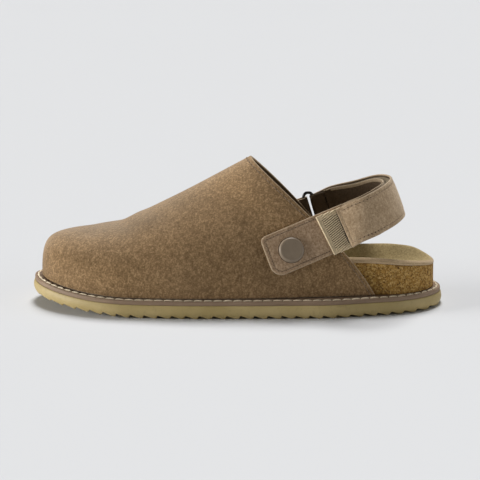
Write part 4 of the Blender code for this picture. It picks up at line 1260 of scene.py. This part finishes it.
def lining_edge(run, across):
    """Place across the strap, drawn down towards the upper edge behind the heel."""
    share = run / STRAP_RUN
    behind = np.clip(np.minimum(share - 0.28, 1.02 - share) / 0.2, 0, 1)
    return across - FAR_DROP * behind * np.clip(2 * across / STRAP_WIDTH, 0, 1)


def on_inner_ply(along, across, height):
    run = along + INNER_START
    across = lining_edge(run, across)
    return on_strap(run, across, strap_level(run, "inside") + height)


def on_foam(along, across, height):
    run = along + INNER_START + FOAM_LEAD
    low = strap_level(run, "inside") + INNER_PLY + 0.1
    high = strap_level(run, "outside") - OUTER_PLY - 0.5
    across = height * across + (1 - height) * lining_edge(run, across)
    return on_strap(run, across, low + (high - low) * height)


# Painted light: a paler copy of the suede for the heel strap.
strap_suede_painted_light = suede_look("strap_suede_painted_light", (0.385, 0.275, 0.168, 1.0), (0.555, 0.417, 0.276, 1.0),
                         (0.245, 0.165, 0.09, 1.0), 900.0)
foam_edge = suede_look("foam_edge", (0.15, 0.12, 0.08, 1.0), (0.19, 0.155, 0.105, 1.0),
                       (0.10, 0.08, 0.052, 1.0), 1500.0, 0.2, 0.0)
PLY = Strap(
    STRAP_RUN + BAR_LEAD + math.pi * eye + FOLD_BACK, STRAP_WIDTH, corners=(1.5, 1.5, 0.5), steps=320,
)
outer_ply = slab("heel_strap_outer", PLY, PLY_SECTION, on_outer_ply,
                 [strap_suede_painted_light, raw_edge, dark_lining_and_painted_shade], PLY_CUT_AND_PAINTED_HIGHLIGHT)
front_at = strap_line(np.zeros(1))[0]
front_out = unit(strap_line(np.array([0.2])) - strap_line(np.array([-0.2])))[0]
# Painted shade: the turned end behind the ring's bar and the front cut edge take the dark lining look.
for face in outer_ply.data.polygons:
    spot = np.array(face.center) / MM - HOME
    past_bar = spot - rear_bar
    behind_bar = -TURN_DEPTH < past_bar @ ring_out < -NEAR
    painted_shade_turned_end = behind_bar and abs(past_bar @ ring_along) < TURN_REACH
    painted_shade_front_edge = face.material_index == CUT and (spot - front_at) @ front_out < NEAR
    if painted_shade_turned_end or painted_shade_front_edge:
        face.material_index = BACK
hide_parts("heel_strap")
LINING_PLY = Strap(
    INNER_END - INNER_START, STRAP_WIDTH + LINING_EXTRA, corners=(0.4, 0.4, 0.4), steps=180,
)
inner_ply = slab("heel_strap_lining", LINING_PLY, LINING_SECTION, on_inner_ply,
                 [dark_lining_and_painted_shade, raw_edge], PLY_CUT_AND_PAINTED_HIGHLIGHT)
cut_end = strap_line(np.array([INNER_END]))[0]
for face in inner_ply.data.polygons:
    if np.linalg.norm(np.array(face.center) / MM - HOME - cut_end) < STRAP_WIDTH / 2 - 1.0:
        face.material_index = TOP  # painted shade: its cut end takes the dark lining look, for the shade of the turned end
FOAM = Strap(LINING_PLY.length - FOAM_SHORT, STRAP_WIDTH, corners=(0.5, 0.5, 0.5), steps=120)
foam = slab("heel_strap_foam", FOAM, FOAM_SECTION, on_foam, [foam_edge], ())
strap_seam = seam_line(PLY, STRAP_STITCH, STRAP_SEAM_HEIGHT, on_outer_ply, STRAP_RUN - STRAP_SEAM_STOP)
strap_thread = thread_look("strap_thread", (0.35, 0.25, 0.155, 1.0), (0.27, 0.19, 0.112, 1.0))
strap_stitches = grow("heel_strap_stitches", stitch_row, [strap_seam], {
    **TONAL_ROW, "Pitch": 2.8 * MM, "Length": 2.2 * MM, "Hole": 0.44 * MM, "Thread": strap_thread,
})

# Studio
# A wide pale floor, a lamp high behind the shoe, two low soft ones on its left and right, and a
# camera in front of the shoe, a little above it.
floor_paint, tree, shader = look("floor_paint", 0.9, Specular_IOR_Level=0.1)
finish(tree, shader, blend(tree, noise(tree, 1.5, 1.0),
                           (0.625, 0.639, 0.659, 1.0), (0.63, 0.644, 0.664, 1.0)))
FLOOR = 12.0             # half its side, in metres
FLOOR_DROP = 0.05        # it lies a hair under the tread
floor_mesh = bpy.data.meshes.new("floor")
floor_mesh.from_pydata([
    (x * FLOOR, y * FLOOR, -FLOOR_DROP * MM) for x, y in ((-1, -1), (1, -1), (1, 1), (-1, 1))
], [], [(0, 1, 2, 3)])
floor_mesh.materials.append(floor_paint)
floor = show("floor", floor_mesh)

# Azimuth from the camera's side towards the right, in degrees.
LIGHTS = table(
    "name azimuth elevation strength angle colour",
    ("left", -80.0, 6.0, 4.9, 32.0, (1.0, 0.985, 0.965)),
    ("right", 76.0, 7.0, 0.95, 40.0, (1.0, 0.99, 0.97)),
    ("back", 174.0, 64.0, 3.15, 24.0, (1.0, 0.99, 0.98)),
)
for row in LIGHTS:
    lamp = bpy.data.lights.new(row.name, "SUN")
    lamp.energy = row.strength
    lamp.angle = math.radians(row.angle)
    lamp.color = row.colour
    sun = show(row.name, lamp)
    sun.rotation_euler = (math.radians(90 - row.elevation), 0.0, math.radians(row.azimuth))

world = bpy.data.worlds.new("studio")
world.use_nodes = True
backdrop = world.node_tree.nodes["Background"].inputs
backdrop["Color"].default_value = (1.0, 0.97, 0.93, 1.0)
backdrop["Strength"].default_value = 0.09
bpy.context.scene.world = world
bpy.context.scene.view_settings.view_transform = "Standard"

CAMERA_ELEVATION = math.radians(11.6)
CAMERA_DISTANCE = 1.15
CAMERA_TARGET = (0.002, 0.00021, 0.04294)
LENS = 125.5             # focal length over a sensor 36 mm wide
camera = bpy.data.cameras.new("camera")
camera.lens = LENS
camera.sensor_width = 36.0
viewer = show("camera", camera)
viewer.location = (
    CAMERA_TARGET[0],
    CAMERA_TARGET[1] - CAMERA_DISTANCE * math.cos(CAMERA_ELEVATION),
    CAMERA_TARGET[2] + CAMERA_DISTANCE * math.sin(CAMERA_ELEVATION),
)
viewer.rotation_euler = (math.pi / 2 - CAMERA_ELEVATION, 0.0, 0.0)
bpy.context.scene.camera = viewer
